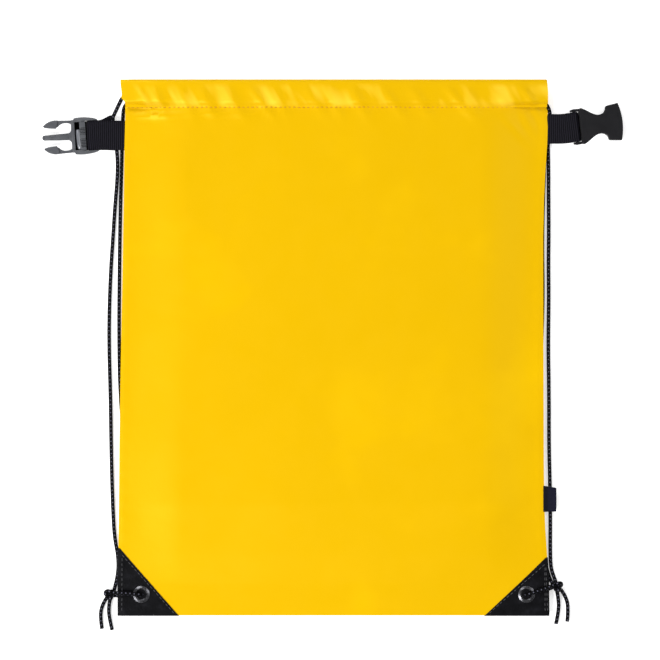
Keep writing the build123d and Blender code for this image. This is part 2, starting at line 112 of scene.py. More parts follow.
RIGHT_ROUTE = [
    (184.9, -196.2, 2.6), (183.2, -191.5, 2.2), (180.5, -184.0, 1.9), (179.9, -172.0, 1.9), (180.0, -146.0, 1.9),
    (179.8, -118.0, 1.9), (178.8, -80.0, 1.9), (178.9, -40.0, 1.9), (178.2, 2.0, 1.9),
    (178.7, 40.0, 1.9), (178.4, 70.0, 1.9), (178.7, 98.0, 1.9), (178.5, 126.0, 1.9),
    (178.5, 150.0, 1.9), (177.9, 171.0, 1.9), (179.3, 188.0, 2.0), (179.7, 193.5, 2.8),
    (179.0, 197.4, 5.2), (176.9, 201.6, 8.0), (172.0, 206.5, 9.6), (164.0, 210.8, 10.9), (150.0, 214.0, 11.6),
    (-149.0, 214.0, 11.6), (-158.0, 214.0, 11.6), (-158.0, 214.0, 2.4), (-149.0, 214.0, 2.4),
    (152.0, 214.0, 2.4), (164.0, 211.5, 2.4), (173.4, 202.0, 2.2), (175.8, 188.0, 1.9),
    (175.4, 170.0, 1.9), (175.1, 150.0, 1.9), (173.8, 118.0, 1.9), (173.3, 84.0, 1.9),
    (173.9, 40.0, 1.9), (172.4, -4.0, 1.9), (171.9, -48.0, 1.9), (171.2, -92.0, 1.9),
    (172.2, -134.0, 1.9), (174.2, -166.0, 1.9), (176.4, -182.0, 1.9), (180.0, -194.0, 2.0), (182.6, -197.6, 2.6),
]
LEFT_LOOP = [
    (-184.0, -206.0, 2.2), (-176.0, -207.0, 1.9), (-159.8, -205.2, 1.9), (-159.8, -205.2, 9.6),
    (-176.0, -203.6, 9.6), (-184.0, -203.6, 8.4),
]
RIGHT_LOOP = [
    (183.0, -199.0, 2.2), (175.0, -202.6, 1.9), (159.8, -205.2, 1.9), (159.8, -205.2, 9.6),
    (175.0, -200.2, 9.6), (183.0, -197.0, 8.4),
]
LEFT_TAILS = [
    [(-189.0, -208.0, 3.6), (-193.0, -214.0, 2.2), (-194.5, -224.0, 1.9), (-193.0, -234.0, 1.9)],
    [(-186.0, -209.0, 3.6), (-187.5, -215.0, 2.2), (-187.0, -225.0, 1.9), (-184.5, -235.0, 1.9)],
]
RIGHT_TAILS = [
    [(188.5, -201.0, 3.6), (193.0, -207.0, 2.2), (195.0, -217.0, 1.9), (194.0, -228.0, 1.9)],
    [(185.4, -202.5, 3.6), (186.8, -209.0, 2.2), (187.0, -219.0, 1.9), (184.6, -230.0, 1.9)],
]


def length_property(name, words, value):
    return bpy.props.FloatProperty(name=name, description=words, default=value, unit="LENGTH")


def colour_property(name, words, value):
    return bpy.props.FloatVectorProperty(
        name=name, description=words, default=value, size=3, subtype="COLOR", min=0.0, max=1.0)


class ClothSizes(bpy.types.PropertyGroup):
    """Sizes of the coated cloth and its hem."""
    thickness: length_property("Cloth thickness", "Coated cloth with its taped lining", 0.0006)
    cell: length_property("Mesh cell", "Spacing of the cloth mesh", 0.0026)
    crease: length_property("Crease height", "Height of the puckers along the hem", 0.0017)
    swell: length_property("Swell", "Height of the soft waves in the panels", 0.0007)
    patch: length_property("Patch thickness", "Thickness of the corner patches", 0.0005)


class CordSizes(bpy.types.PropertyGroup):
    """Sizes of the cords, thread and webbing."""
    diameter: length_property("Cord diameter", "Braided drawcord", 0.0032)
    stitch: length_property("Stitch length", "Length of one lockstitch", 0.0027)
    pitch: length_property("Stitch pitch", "From one stitch to the next", 0.0038)
    webbing: length_property("Webbing width", "Width of the strap webbing", 0.0246)
    webbing_thick: length_property("Webbing thickness", "Thickness of the strap webbing", 0.0013)


class Finishes(bpy.types.PropertyGroup):
    """Base colours of the materials."""
    cloth: colour_property("Cloth", "Yellow coated cloth", (0.70, 0.405, 0.0))
    # Lighter yellow of the cloth's random mottling, partly a painted soft highlight
    cloth_light: colour_property("Cloth, rubbed", "Where the coating is rubbed lighter", (0.77, 0.46, 0.0))
    thread: colour_property("Thread", "Thread of the hem", (0.60, 0.26, 0.002))
    patch: colour_property("Patch", "Grained black cloth of the patches", (0.004, 0.004, 0.005))
    patch_thread: colour_property("Patch thread", "Thread of the patches", (0.05, 0.05, 0.055))
    cord: colour_property("Cord", "Braided black cord", (0.0028, 0.0028, 0.0038))
    webbing: colour_property("Webbing", "Ribbed black webbing", (0.0045, 0.0042, 0.0064))
    male: colour_property("Male half", "Grey-black moulding", (0.070, 0.074, 0.083))
    female: colour_property("Female half", "Matt black moulding", (0.0055, 0.0054, 0.0068))
    label: colour_property("Label", "Woven navy label", (0.0045, 0.0045, 0.014))
    metal: colour_property("Eyelet", "Blackened metal", (0.06, 0.06, 0.065))


# ---------------------------------------------------------------- shape of the bag


def along(table, y):
    """Value in metres at y, between the rows of a table in millimetres."""
    y = y / MM
    if y <= table[0][0]:
        return table[0][1] * MM
    for (y0, v0), (y1, v1) in zip(table, table[1:]):
        if y <= y1:
            t = (y - y0) / (y1 - y0)
            return (v0 + (v1 - v0) * t) * MM
    return table[-1][1] * MM


def ease(t):
    t = min(max(t, 0.0), 1.0)
    return t * t * (3 - 2 * t)


def bump(x, y, cx, cy, rx, ry, turn=0.0):
    """Soft oval bump, 1 at its middle."""
    c, s = math.cos(turn), math.sin(turn)
    dx, dy = x - cx, y - cy
    u, v = (c * dx + s * dy) / rx, (-s * dx + c * dy) / ry
    return math.exp(-(u * u + v * v))


def hem_puckers():
    """Places of the slanting puckers that the drawn thread makes along the hem."""
    rng = random.Random(7)
    places = []
    x = -168.0
    while x < 172:
        places.append((x * MM, rng.uniform(0.5, 1.0), rng.uniform(3.0, 5.6) * MM, rng.uniform(0.35, 0.8)))
        x += rng.uniform(15, 30)
    return places


PUCKERS = hem_puckers()
# Soft dents and swells of the front panel: x, y, half width, half length, turn in degrees, height share
SWELLS = [
    (-150, 150, 22, 60, -12, 0.8), (-95, 120, 30, 80, 10, -0.5), (-40, 165, 26, 42, 25, 0.5),
    (20, 110, 34, 90, -8, 0.6), (80, 160, 26, 50, -20, -0.5), (135, 120, 22, 80, 6, 0.7),
    (-140, 20, 24, 80, 8, -0.6), (-70, -10, 38, 70, -14, 0.8), (10, -30, 30, 90, 6, -0.6),
    (90, 10, 34, 90, 12, 0.6), (150, -20, 16, 100, -4, -0.5), (-150, -90, 22, 46, -24, 0.9),
    (-100, -130, 30, 50, 30, -0.7), (-30, -120, 34, 60, -10, 0.7), (50, -110, 30, 60, 18, -0.5),
    (110, -140, 26, 60, -30, 0.8), (-60, -180, 40, 24, 8, 0.4), (60, -182, 44, 22, -8, 0.4),
]

# Sharp creases along the hem: x, y, half width, half length, turn in radians, height share
CREASES = [
    (-153, 192.6, 24, 1.7, 0.03, 0.9), (-150, 196.6, 26, 1.7, 0.0, -0.5), (-96, 194.6, 20, 2.0, -0.04, 0.6),
    (160, 190, 4, 17, 0.5, 0.7), (149, 184, 3, 19, 0.75, 0.6),
]


def inset(x, y):
    """Distance in from the nearer side edge."""
    return min(x - along(LEFT_EDGE, y), along(RIGHT_EDGE, y) - x)


def waves(x, y, sizes):
    """Height of the waves, creases and puckers over the smooth front panel."""
    height = 0.0
    for cx, cy, rx, ry, turn, share in SWELLS:
        height += share * bump(x, y, cx * MM, cy * MM, rx * MM, ry * MM, math.radians(turn))
    height *= sizes.swell
    below = max(HEM_Y - y, 0.0)
    fade = math.exp(-((below / (9 * MM)) ** 2)) * ease((MOUTH_Y - 3 * MM - y) / (9 * MM))
    if fade > 0.003:
        for px, share, half, slope in PUCKERS:
            line = px + slope * (MOUTH_Y - y)
            height += sizes.crease * share * fade * math.exp(-(((x - line) / half) ** 2))
    for cx, cy, rx, ry, turn, share in CREASES:
        height += share * sizes.crease * bump(x, y, cx * MM, cy * MM, rx * MM, ry * MM, turn)
    return height


def groove(x, y, sizes):
    """Depth of the stitched groove under the hem, a little deeper at each stitch."""
    across = (y - STITCH_Y) / (1.5 * MM)
    return 0.8 * MM * math.exp(-across * across) * (0.8 + 0.2 * math.sin(x / (0.605 * MM)))


def front_height(x, y, sizes):
    """Height of the front panel's outer face, hem included."""
    d = inset(x, y)
    top = along(FACE_TOP, y) + HEM_RISE * ease((y - STITCH_Y) / (5 * MM))
    z = SEAM_TOP + (top - SEAM_TOP) * ease((d - 6 * MM) / (48 * MM))
    if y > STITCH_Y:
        lifted = HEM_END + (top - HEM_END) * ease((d - 1 * MM) / (30 * MM))
        z += (lifted - z) * ease((y - STITCH_Y) / (5 * MM))
    z += waves(x, y, sizes) * ease((d - 1 * MM) / (12 * MM)) * ease((y - BOTTOM_Y) / (18 * MM))
    z -= groove(x, y, sizes) * ease(d / (6 * MM))
    z -= 0.5 * MM * ease(1 - d / (3 * MM))
    z += 0.7 * MM * bump(x, y, along(RIGHT_EDGE, y), 176 * MM, 7 * MM, 15 * MM)
    puckered = 0.12 * MM * math.sin(y / (2.1 * MM)) * math.exp(-(((d - 4.5 * MM) / (2.5 * MM)) ** 2))
    return z + puckered


def back_height(x, y):
    """Height of the back panel's outer face."""
    d = inset(x, y)
    under = along(FACE_UNDER, y)
    z = under + (SEAM_LOW - under) * ease(1 - (d - 7 * MM) / (20 * MM))
    return z + 0.5 * MM * ease(1 - d / (3 * MM))


def rows_between(low, high, cell):
    count = max(2, round((high - low) / cell))
    return [low + (high - low) * i / count for i in range(count + 1)]


def columns(count):
    """Positions across the bag from 0 to 1, closer together at the edges."""
    places = []
    for i in range(count + 1):
        t = i / count
        places.append(t - 0.045 * math.sin(2 * math.pi * t))
    return places


# ---------------------------------------------------------------- mesh helpers


def mesh_object(name, bm):
    mesh = bpy.data.meshes.new(name)
    bmesh.ops.recalc_face_normals(bm, faces=bm.faces)
    bm.to_mesh(mesh)
    bm.free()
    for polygon in mesh.polygons:
        polygon.use_smooth = True
    piece = bpy.data.objects.new(name, mesh)
    bpy.context.scene.collection.objects.link(piece)
    return piece


def grid_faces(bm, rows, closed=False):
    """Quads between rows of vertices."""
    for one, other in zip(rows, rows[1:]):
        last = len(one) if closed else len(one) - 1
        for i in range(last):
            j = (i + 1) % len(one)
            bm.faces.new((one[i], one[j], other[j], other[i]))


def join(name, parts):
    """One piece from several meshes with the same layers."""
    bm = bmesh.new()
    for part in parts:
        bm.from_mesh(part.data)
        bpy.data.objects.remove(part)
    return mesh_object(name, bm)


def apply_modifiers(piece):
    """Replaces a piece's mesh with its modified one."""
    depsgraph = bpy.context.evaluated_depsgraph_get()
    mesh = bpy.data.meshes.new_from_object(piece.evaluated_get(depsgraph))
    piece.modifiers.clear()
    piece.data = mesh


def thicken(piece, thickness):
    """Gives a sheet its thickness, inwards from its outer face."""
    solid = piece.modifiers.new("thickness", "SOLIDIFY")
    solid.thickness = thickness
    apply_modifiers(piece)
    piece.data.set_sharp_from_angle(angle=math.radians(55))


# ---------------------------------------------------------------- materials


def new_material(name, colour, roughness, metallic=0.0):
    material = bpy.data.materials.new(name)
    material.use_nodes = True
    tree = material.node_tree
    shader = tree.nodes["Principled BSDF"]
    shader.inputs["Base Color"].default_value = (*colour, 1)
    shader.inputs["Roughness"].default_value = roughness
    shader.inputs["Metallic"].default_value = metallic
    return material, tree, shader


def coordinates(tree, scale, turn=0.0):
    """The piece's own coordinates, scaled and turned."""
    place = tree.nodes.new("ShaderNodeTexCoord")
    mapping = tree.nodes.new("ShaderNodeMapping")
    mapping.inputs["Scale"].default_value = scale
    mapping.inputs["Rotation"].default_value = (0, 0, turn)
    tree.links.new(place.outputs["Object"], mapping.inputs["Vector"])
    return mapping.outputs["Vector"]


def noise(tree, vector, scale, detail=3.0, rough=0.5):
    texture = tree.nodes.new("ShaderNodeTexNoise")
    texture.inputs["Scale"].default_value = scale
    texture.inputs["Detail"].default_value = detail
    texture.inputs["Roughness"].default_value = rough
    tree.links.new(vector, texture.inputs["Vector"])
    return texture.outputs["Fac"]


def wave(tree, vector, scale, direction="X", distortion=0.0):
    texture = tree.nodes.new("ShaderNodeTexWave")
    texture.bands_direction = direction
    texture.inputs["Scale"].default_value = scale
    texture.inputs["Distortion"].default_value = distortion
    tree.links.new(vector, texture.inputs["Vector"])
    return texture.outputs["Fac"]


def combine(tree, one, other, operation="MULTIPLY"):
    node = tree.nodes.new("ShaderNodeMath")
    node.operation = operation
    tree.links.new(one, node.inputs[0])
    if isinstance(other, (int, float)):
        node.inputs[1].default_value = other
    else:
        tree.links.new(other, node.inputs[1])
    return node.outputs[0]


def ramp(tree, factor, stops):
    node = tree.nodes.new("ShaderNodeValToRGB")
    elements = node.color_ramp.elements
    while len(elements) < len(stops):
        elements.new(0.5)
    for element, (position, colour) in zip(elements, stops):
        element.position = position
        element.color = (*colour, 1)
    tree.links.new(factor, node.inputs["Fac"])
    return node.outputs["Color"]


def add_bump(tree, shader, height, distance, strength=1.0, below=None):
    node = tree.nodes.new("ShaderNodeBump")
    node.inputs["Strength"].default_value = strength
    node.inputs["Distance"].default_value = distance
    tree.links.new(height, node.inputs["Height"])
    if below is not None:
        tree.links.new(below, node.inputs["Normal"])
    tree.links.new(node.outputs["Normal"], shader.inputs["Normal"])
    return node.outputs["Normal"]


def scaled(colour, factor):
    return tuple(min(1.0, c * factor) for c in colour)


def gloss(shader, level, tint=None):
    """Strength and tint of a finish's shine, the same all over."""
    shader.inputs["Specular IOR Level"].default_value = level
    if tint:
        shader.inputs["Specular Tint"].default_value = (*tint, 1)


def coated_cloth():
    """Yellow plain-weave cloth with a satin coating."""
    look = bpy.context.scene.drybag_finishes
    material, tree, shader = new_material("coated_cloth", look.cloth, 0.36)
    plain = coordinates(tree, (1, 1, 1))
    # Random mottling towards a lighter yellow, partly painted soft patches of light
    broad = noise(tree, plain, 9, 3, 0.55)
    colour = ramp(tree, broad, [(0.32, look.cloth), (0.56, scaled(look.cloth, 1.015)),
                                        (0.8, look.cloth_light)])
    # Painted highlight: light yellow slanting streaks over the hem's puckers, from just above the stitch row to a few
    # millimetres short of the mouth edge, whose top stays darker
    split = tree.nodes.new("ShaderNodeSeparateXYZ")
    tree.links.new(plain, split.inputs["Vector"])
    up_hem = combine(tree, combine(tree, split.outputs["Y"], -HEM_Y, "ADD"), 20.0)
    band = ramp(tree, up_hem, [(0.0, (0, 0, 0)), (0.08, (1, 1, 1)), (0.34, (0.8, 0.8, 0.8)), (0.42, (0, 0, 0))])
    slanted = coordinates(tree, (1 / 85, 1 / 22, 1), math.radians(30))
    slanted.node.vector_type = "TEXTURE"  # turns first and stretches after, so the streaks slant
    pucker_highlight = ramp(tree, noise(tree, slanted, 0.75, 2, 0.5), [(0.46, (0, 0, 0)), (0.66, (1, 1, 1))])
    wear_and_highlight = tree.nodes.new("ShaderNodeMix")
    wear_and_highlight.data_type = "RGBA"
    wear_and_highlight.inputs["B"].default_value = (0.93, 0.60, 0.035, 1)
    tree.links.new(colour, wear_and_highlight.inputs["A"])
    tree.links.new(combine(tree, band, pucker_highlight), wear_and_highlight.inputs["Factor"])
    tree.links.new(wear_and_highlight.outputs["Result"], shader.inputs["Base Color"])
    patches = noise(tree, plain, 60, 2, 0.5)
    rough = ramp(tree, patches, [(0.3, (0.33, 0.33, 0.33)), (0.7, (0.42, 0.42, 0.42))])
    tree.links.new(rough, shader.inputs["Roughness"])
    weft = wave(tree, plain, 420, "X", 0.4)
    warp = wave(tree, plain, 420, "Y", 0.4)
    weave = combine(tree, weft, warp)
    wrinkle = noise(tree, plain, 70, 4, 0.55)
    fine = add_bump(tree, shader, weave, 0.00005, 0.4)
    add_bump(tree, shader, wrinkle, 0.0003, 0.55, fine)
    gloss(shader, 0.5, (1.0, 0.78, 0.10))
    return material


def thread(name, colour):
    material, tree, shader = new_material(name, colour, 0.55)
    plain = coordinates(tree, (1, 1, 1), 0.6)
    twist = wave(tree, plain, 900, "X", 0.5)
    tone = ramp(tree, twist, [(0.2, scaled(colour, 0.7)), (0.8, scaled(colour, 1.25))])
    tree.links.new(tone, shader.inputs["Base Color"])
    add_bump(tree, shader, twist, 0.0001, 0.8)
    return material


def patch_cloth():
    """Black cloth with a pebbled, slightly shiny coating."""
    look = bpy.context.scene.drybag_finishes
    material, tree, shader = new_material("patch_cloth", look.patch, 0.5)
    plain = coordinates(tree, (1, 1, 1))
    grain = tree.nodes.new("ShaderNodeTexVoronoi")
    grain.inputs["Scale"].default_value = 900
    tree.links.new(plain, grain.inputs["Vector"])
    broad = noise(tree, plain, 130, 4, 0.6)
    tone = ramp(tree, broad, [(0.35, scaled(look.patch, 0.6)), (0.55, look.patch),
                                      (0.8, scaled(look.patch, 2.8))])
    tree.links.new(tone, shader.inputs["Base Color"])
    fine = add_bump(tree, shader, grain.outputs["Distance"], 0.00018, 0.8)
    add_bump(tree, shader, broad, 0.0004, 0.7, fine)
    gloss(shader, 0.055)
    return material


def braid(name, colour):
    """Braided cover: two families of strands that wind opposite ways, from the tube's own lengths."""
    material, tree, shader = new_material(name, colour, 0.5)
    place = tree.nodes.new("ShaderNodeUVMap")
    place.uv_map = "braid"
    hands = []
    for turn in (1, -1):
        mapping = tree.nodes.new("ShaderNodeMapping")
        mapping.inputs["Scale"].default_value = (1, turn, 1)
        tree.links.new(place.outputs["UV"], mapping.inputs["Vector"])
        strand = tree.nodes.new("ShaderNodeTexWave")
        strand.bands_direction = "DIAGONAL"
        strand.inputs["Scale"].default_value = 1.0
        tree.links.new(mapping.outputs["Vector"], strand.inputs["Vector"])
        hands.append(strand.outputs["Fac"])
    weave = combine(tree, hands[0], hands[1], "MAXIMUM")
    # Painted highlight: where both strands rise, the cord is lit up to 34 times its colour, as glints on the braid
    painted_glint = combine(tree, hands[0], hands[1])
    tone = ramp(tree, painted_glint, [(0.2, scaled(colour, 0.5)), (0.55, colour), (0.9, scaled(colour, 34))])
    tree.links.new(tone, shader.inputs["Base Color"])
    add_bump(tree, shader, weave, 0.00035, 0.9)
    gloss(shader, 0.05)
    return material


def ribbed_webbing():
    """Flat woven webbing with close cross ribs and a soft edge."""
    look = bpy.context.scene.drybag_finishes
    material, tree, shader = new_material("ribbed_webbing", look.webbing, 0.55)
    place = tree.nodes.new("ShaderNodeUVMap")
    place.uv_map = "weave"
    ribs = wave(tree, place.outputs["UV"], 0.19, "X", 0.35)
    yarns = wave(tree, place.outputs["UV"], 0.5, "Y", 0.3)
    weave = combine(tree, ribs, combine(tree, yarns, 0.3), "ADD")
    tone = ramp(tree, weave, [(0.1, scaled(look.webbing, 0.35)), (0.6, look.webbing),
                                      (1.0, scaled(look.webbing, 3.2))])
    tree.links.new(tone, shader.inputs["Base Color"])
    add_bump(tree, shader, weave, 0.0004, 0.9)
    gloss(shader, 0.07)
    return material


def moulded_plastic(name, colour, roughness, shine):
    """Acetal moulding with a fine spark-eroded skin and worn, slightly lighter spots."""
    material, tree, shader = new_material(name, colour, roughness)
    plain = coordinates(tree, (1, 1, 1))
    skin = noise(tree, plain, 2600, 2, 0.6)
    wear = noise(tree, plain, 160, 4, 0.6)
    tone = ramp(tree, wear, [(0.3, scaled(colour, 0.85)), (0.6, colour), (0.85, scaled(colour, 1.35))])
    tree.links.new(tone, shader.inputs["Base Color"])
    wear_and_highlight = ramp(tree, wear, [(0.3, (roughness - 0.06,) * 3), (0.7, (roughness + 0.08,) * 3)])
    tree.links.new(wear_and_highlight, shader.inputs["Roughness"])
    add_bump(tree, shader, skin, 0.00005, 0.5)
    gloss(shader, shine)
    return material


def blackened_metal():
    look = bpy.context.scene.drybag_finishes
    material, tree, shader = new_material("blackened_metal", look.metal, 0.3, 1.0)
    plain = coordinates(tree, (1, 1, 1))
    rub = noise(tree, plain, 700, 4, 0.65)
    tone = ramp(tree, rub, [(0.35, scaled(look.metal, 0.7)), (0.75, scaled(look.metal, 3.0))])
    tree.links.new(tone, shader.inputs["Base Color"])
    add_bump(tree, shader, rub, 0.00004, 0.5)
    return material


def woven_label():
    """Fine woven label, darker in the part next to the seam and lighter towards its fold."""
    look = bpy.context.scene.drybag_finishes
    material, tree, shader = new_material("woven_label", look.label, 0.6)
    place = tree.nodes.new("ShaderNodeUVMap")
    place.uv_map = "weave"
    split = tree.nodes.new("ShaderNodeSeparateXYZ")
    tree.links.new(place.outputs["UV"], split.inputs["Vector"])
    tone = ramp(tree, split.outputs["X"], [(0.30, scaled(look.label, 0.45)), (0.36, look.label),
                                                   (0.9, scaled(look.label, 1.3))])
    tree.links.new(tone, shader.inputs["Base Color"])
    plain = coordinates(tree, (1, 1, 1))
    weave = combine(tree, wave(tree, plain, 700, "X"), wave(tree, plain, 500, "Y"))
    add_bump(tree, shader, weave, 0.0001, 0.8)
    gloss(shader, 0.1)
    return material


MADE = {}


def finish_named(name):
    """The material of that name, made once."""
    look = bpy.context.scene.drybag_finishes
    makers = {
        "coated_fabric": coated_cloth,
        "thread": lambda: thread("hem_thread", look.thread),
        "patch_thread": lambda: thread("patch_thread", look.patch_thread),
        "patch_fabric": patch_cloth,
        "cord": lambda: braid("braided_cord", look.cord),
        "webbing": ribbed_webbing,
        "male_plastic": lambda: moulded_plastic("male_plastic", look.male, 0.32, 0.6),
        "female_plastic": lambda: moulded_plastic("female_plastic", look.female, 0.45, 0.2),
        # Painted highlight: the male moulding's colour made 2.2 times lighter, for the glossy locking bar
        "polished_plastic_painted_highlight": lambda: moulded_plastic("polished_plastic_painted_highlight", scaled(look.male, 2.2), 0.22, 0.9),
        "slot_shade": lambda: moulded_plastic("slot_shade", scaled(look.female, 0.3), 0.7, 0.05),
        "eyelet_metal": blackened_metal,
        "label_cloth": woven_label,
    }
    if name not in MADE:
        MADE[name] = makers[name]()
    return MADE[name]


def dress(piece, slot, finish=None):
    """Gives a new piece its material, the finish's or else the slot's."""
    piece.data.materials.clear()
    piece.data.materials.append(finish_named(finish or slot))


# ---------------------------------------------------------------- cloth pieces


def bag_rows(bm, ys, across, sizes):
    """Loops of vertices round the flat bag: over the front from left to right, back under it."""
    rows = []
    for y in ys:
        places = spread(y, across)
        row = [bm.verts.new((x, y, front_height(x, y, sizes))) for x in places]
        row += [bm.verts.new((x, y, back_height(x, y))) for x in reversed(places)]
        rows.append(row)
    return rows


def close_bottom(bm, row):
    """Sewn bottom edge: the front and back of the last row joined."""
    half = len(row) // 2
    for i in range(half - 1):
        bm.faces.new((row[i], row[i + 1], row[-2 - i], row[-1 - i]))


def fold_over(y_low, cell):
    """Rest of a hem's section, round the mouth edge and down inside: y, and 1 at the crest to 0 inside."""
    start = MOUTH_Y - EDGE_DEPTH
    turns = [math.pi * i / 9 for i in range(1, 10)]
    path = [(start + EDGE_DEPTH * math.sin(angle), 0.5 + 0.5 * math.cos(angle)) for angle in turns]
    return path + [(y, 0.0) for y in rows_between(y_low, start, cell)[::-1][1:]]


def bag_length(name, low, high, bottom=False, hemmed=False):
    """One length of the flat bag, closed at its sides, with the mouth's hems on the top one."""
    sizes = bpy.context.scene.drybag_cloth
    bm = bmesh.new()
    across = columns(round(BAG_WIDTH / sizes.cell))
    rows = bag_rows(bm, rows_between(low, high, sizes.cell), across, sizes)
    grid_faces(bm, rows, closed=True)
    if bottom:
        close_bottom(bm, rows[0])
    if hemmed:
        half, crest_y = len(across), MOUTH_Y - EDGE_DEPTH
        front, back = [rows[-1][:half]], [rows[-1][half:]]
        for y in rows_between(high, crest_y, sizes.cell * 0.7)[1:]:
            front.append([bm.verts.new((x, y, front_height(x, y, sizes))) for x in spread(y, across)])
            lift = 1 - ease((y - HEM_Y) / (6 * MM))
            back.append([bm.verts.new((x, y, 0.3 * MM + (back_height(x, y) - 0.3 * MM) * lift))
                         for x in back_spread(y, across)])
        crests = [(v.co.x, v.co.z) for v in front[-1]]
        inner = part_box("front_mouth_hem")[0][2] + 0.3 * MM
        path = fold_over(high + 1 * MM, sizes.cell)
        for y, share in path:
            edges = spread(y, across, 0.8 * MM)
            if y > crest_y:
                edges = [x + corner_round(x, y) * share for x, _ in crests]
            front.append([bm.verts.new((x, y, inner + (z - inner) * share)) for x, (_, z) in zip(edges, crests)])
        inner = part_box("back_mouth_hem")[1][2] - 0.3 * MM
        bases = [(v.co.x, v.co.z) for v in back[-1]]
        for y, share in path:
            back.append([bm.verts.new((x, y, inner + (z - inner) * share)) for x, z in bases])
        grid_faces(bm, front)
        grid_faces(bm, back)
    piece = mesh_object(name, bm)
    thicken(piece, sizes.thickness)
    dress(piece, "coated_fabric")
    return piece


def spread(y, across, short=0.0):
    """Places across the front at y, stopping short of the edges."""
    left, right = along(LEFT_EDGE, y) + short, along(RIGHT_EDGE, y) - short
    return [left + (right - left) * t for t in across]


def back_spread(y, across):
    """Across the back hem, whose ends stand in from the seams to let the cords out."""
    share = ease((y - HEM_Y) / (4 * MM))
    low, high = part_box("back_mouth_hem")
    left = along(LEFT_EDGE, y) + (low[0] - along(LEFT_EDGE, y)) * share
    right = along(RIGHT_EDGE, y) + (high[0] - along(RIGHT_EDGE, y)) * share
    return [right + (left - right) * t for t in across]


def corner_round(x, y):
    """Pulls in the right end of the mouth edge, which is rounded."""
    over = max(0.0, y - (MOUTH_Y - 4 * MM)) / (4 * MM)
    near = ease((x - along(RIGHT_EDGE, y) + 8 * MM) / (8 * MM))
    return -1.6 * MM * over * over * near


def stitch_line(name, points, slot, finish=None):
    """Row of small rounded stitches, each sunk at its two ends, through points on a surface."""
    bm = bmesh.new()
    radius = 0.34 * MM
    for start, end in points:
        run = end - start
        side = Vector((0, 0, 1)).cross(run).normalized()
        rings = []
        for i in range(7):
            t = i / 6
            middle = start + run * t + Vector((0, 0, 0.42 * MM * math.sin(math.pi * t) - 0.12 * MM))
            thick = radius * (0.45 + 0.55 * math.sin(math.pi * min(max(t, 0.08), 0.92)))
            ring = []
            for k in range(8):
                angle = 2 * math.pi * k / 8
                offset = side * math.cos(angle) * thick + Vector((0, 0, math.sin(angle) * thick))
                ring.append(bm.verts.new(middle + offset))
            rings.append(ring)
        grid_faces(bm, rings, closed=True)
        bm.faces.new(rings[0])
        bm.faces.new(rings[-1])
    piece = mesh_object(name, bm)
    dress(piece, slot, finish)
    return piece


def stitch_points(start, end, surface, sizes, wobble=0.0, seed=1):
    """Start and end of each stitch along a line in plan, on the surface's height."""
    rng = random.Random(seed)
    run = Vector(end) - Vector(start)
    count = int(run.length / sizes.pitch)
    unit = run.normalized()
    across = Vector((-unit.y, unit.x))
    points = []
    for i in range(count):
        middle = Vector(start) + unit * (run.length * (i + 0.5) / count) + across * rng.uniform(-wobble, wobble)
        ends = []
        for side in (-0.5, 0.5):
            p = middle + unit * sizes.stitch * side
            ends.append(Vector((p.x, p.y, surface(p.x, p.y))))
        points.append(tuple(ends))
    return points


class DRYBAG_OT_cloth(bpy.types.Operator):
    """Makes the bag's front and back from coated cloth, in two lengths that meet midway between the folds"""
    bl_idname = "drybag.cloth"
    bl_label = "Bag cloth"

    def execute(self, context):
        lower = bag_length("bag_cloth_lower", BOTTOM_Y, CLOTH_SPLIT, bottom=True)
        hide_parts("front_panel_lower", "back_panel_lower")
        bend(lower)
        upper = bag_length("bag_cloth_upper", CLOTH_SPLIT, HEM_Y, hemmed=True)
        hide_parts("front_panel_middle", "back_panel_middle", "front_panel_top", "back_panel_top",
                    "front_mouth_hem", "back_mouth_hem")
        bend(upper)
        return {"FINISHED"}


def bend(piece):
    """Bakes a piece's placement into its mesh."""
    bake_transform(piece)


class DRYBAG_OT_hem(bpy.types.Operator):
    """Makes the row of stitches that holds the front hem"""
    bl_idname = "drybag.hem"
    bl_label = "Hem stitches"

    def execute(self, context):
        sizes, cords = context.scene.drybag_cloth, context.scene.drybag_cords
        ends = (-172.8 * MM, STITCH_Y), (175.8 * MM, STITCH_Y)
        points = stitch_points(*ends, lambda x, y: front_height(x, y, sizes), cords, 0.12 * MM, 3)
        row = stitch_line("hem_stitches", points, "thread")
        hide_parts("front_hem_stitching")
        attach(row, "roll_top")
        return {"FINISHED"}


def diagonal(name):
    """Bottom and side ends of a patch's slanting edge, as distances from the corner."""
    low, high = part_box(f"corner_patch_{name}")
    return (high[0] - low[0]) - 0.6 * MM, (high[1] - low[1]) - 0.6 * MM


def patch_piece(name, side, edge_table):
    """Black patch folded round a bottom corner, following the cloth under it."""
    sizes = bpy.context.scene.drybag_cloth
    along_x, up_y = diagonal(name)
    bm = bmesh.new()
    steps, lift = 16, sizes.patch
    low = BOTTOM_Y - 0.4 * MM
    rows = []
    for j in range(31):
        y = low + (up_y - 1.2 * MM) * j / 30
        on_bag = max(y, BOTTOM_Y)
        edge = along(edge_table, on_bag)
        reach = max(along_x * (1 - (y - low) / up_y), 0.8 * MM)
        places = [edge - side * reach * (1 - i / steps) + side * (0.3 * MM if i == steps else 0)
                  for i in range(steps + 1)]
        row = [bm.verts.new((x, y, front_height(x, on_bag, sizes) + lift)) for x in places]
        row.append(bm.verts.new((edge + side * 0.55 * MM, y, (SEAM_LOW + SEAM_TOP) / 2)))
        row += [bm.verts.new((x, y, back_height(x, on_bag) - lift)) for x in reversed(places)]
        rows.append(row)
    grid_faces(bm, rows)
    half = len(rows[0]) // 2
    for i in range(half):
        a, b, c, d = rows[0][i], rows[0][i + 1], rows[0][-2 - i], rows[0][-1 - i]
        corners = [v for n, v in enumerate((a, b, c, d)) if v not in (a, b, c, d)[:n]]
        bm.faces.new(corners)
    piece = mesh_object(f"corner_patch_cloth_{name}", bm)
    thicken(piece, sizes.patch * 0.8)
    dress(piece, "patch_fabric")
    return piece


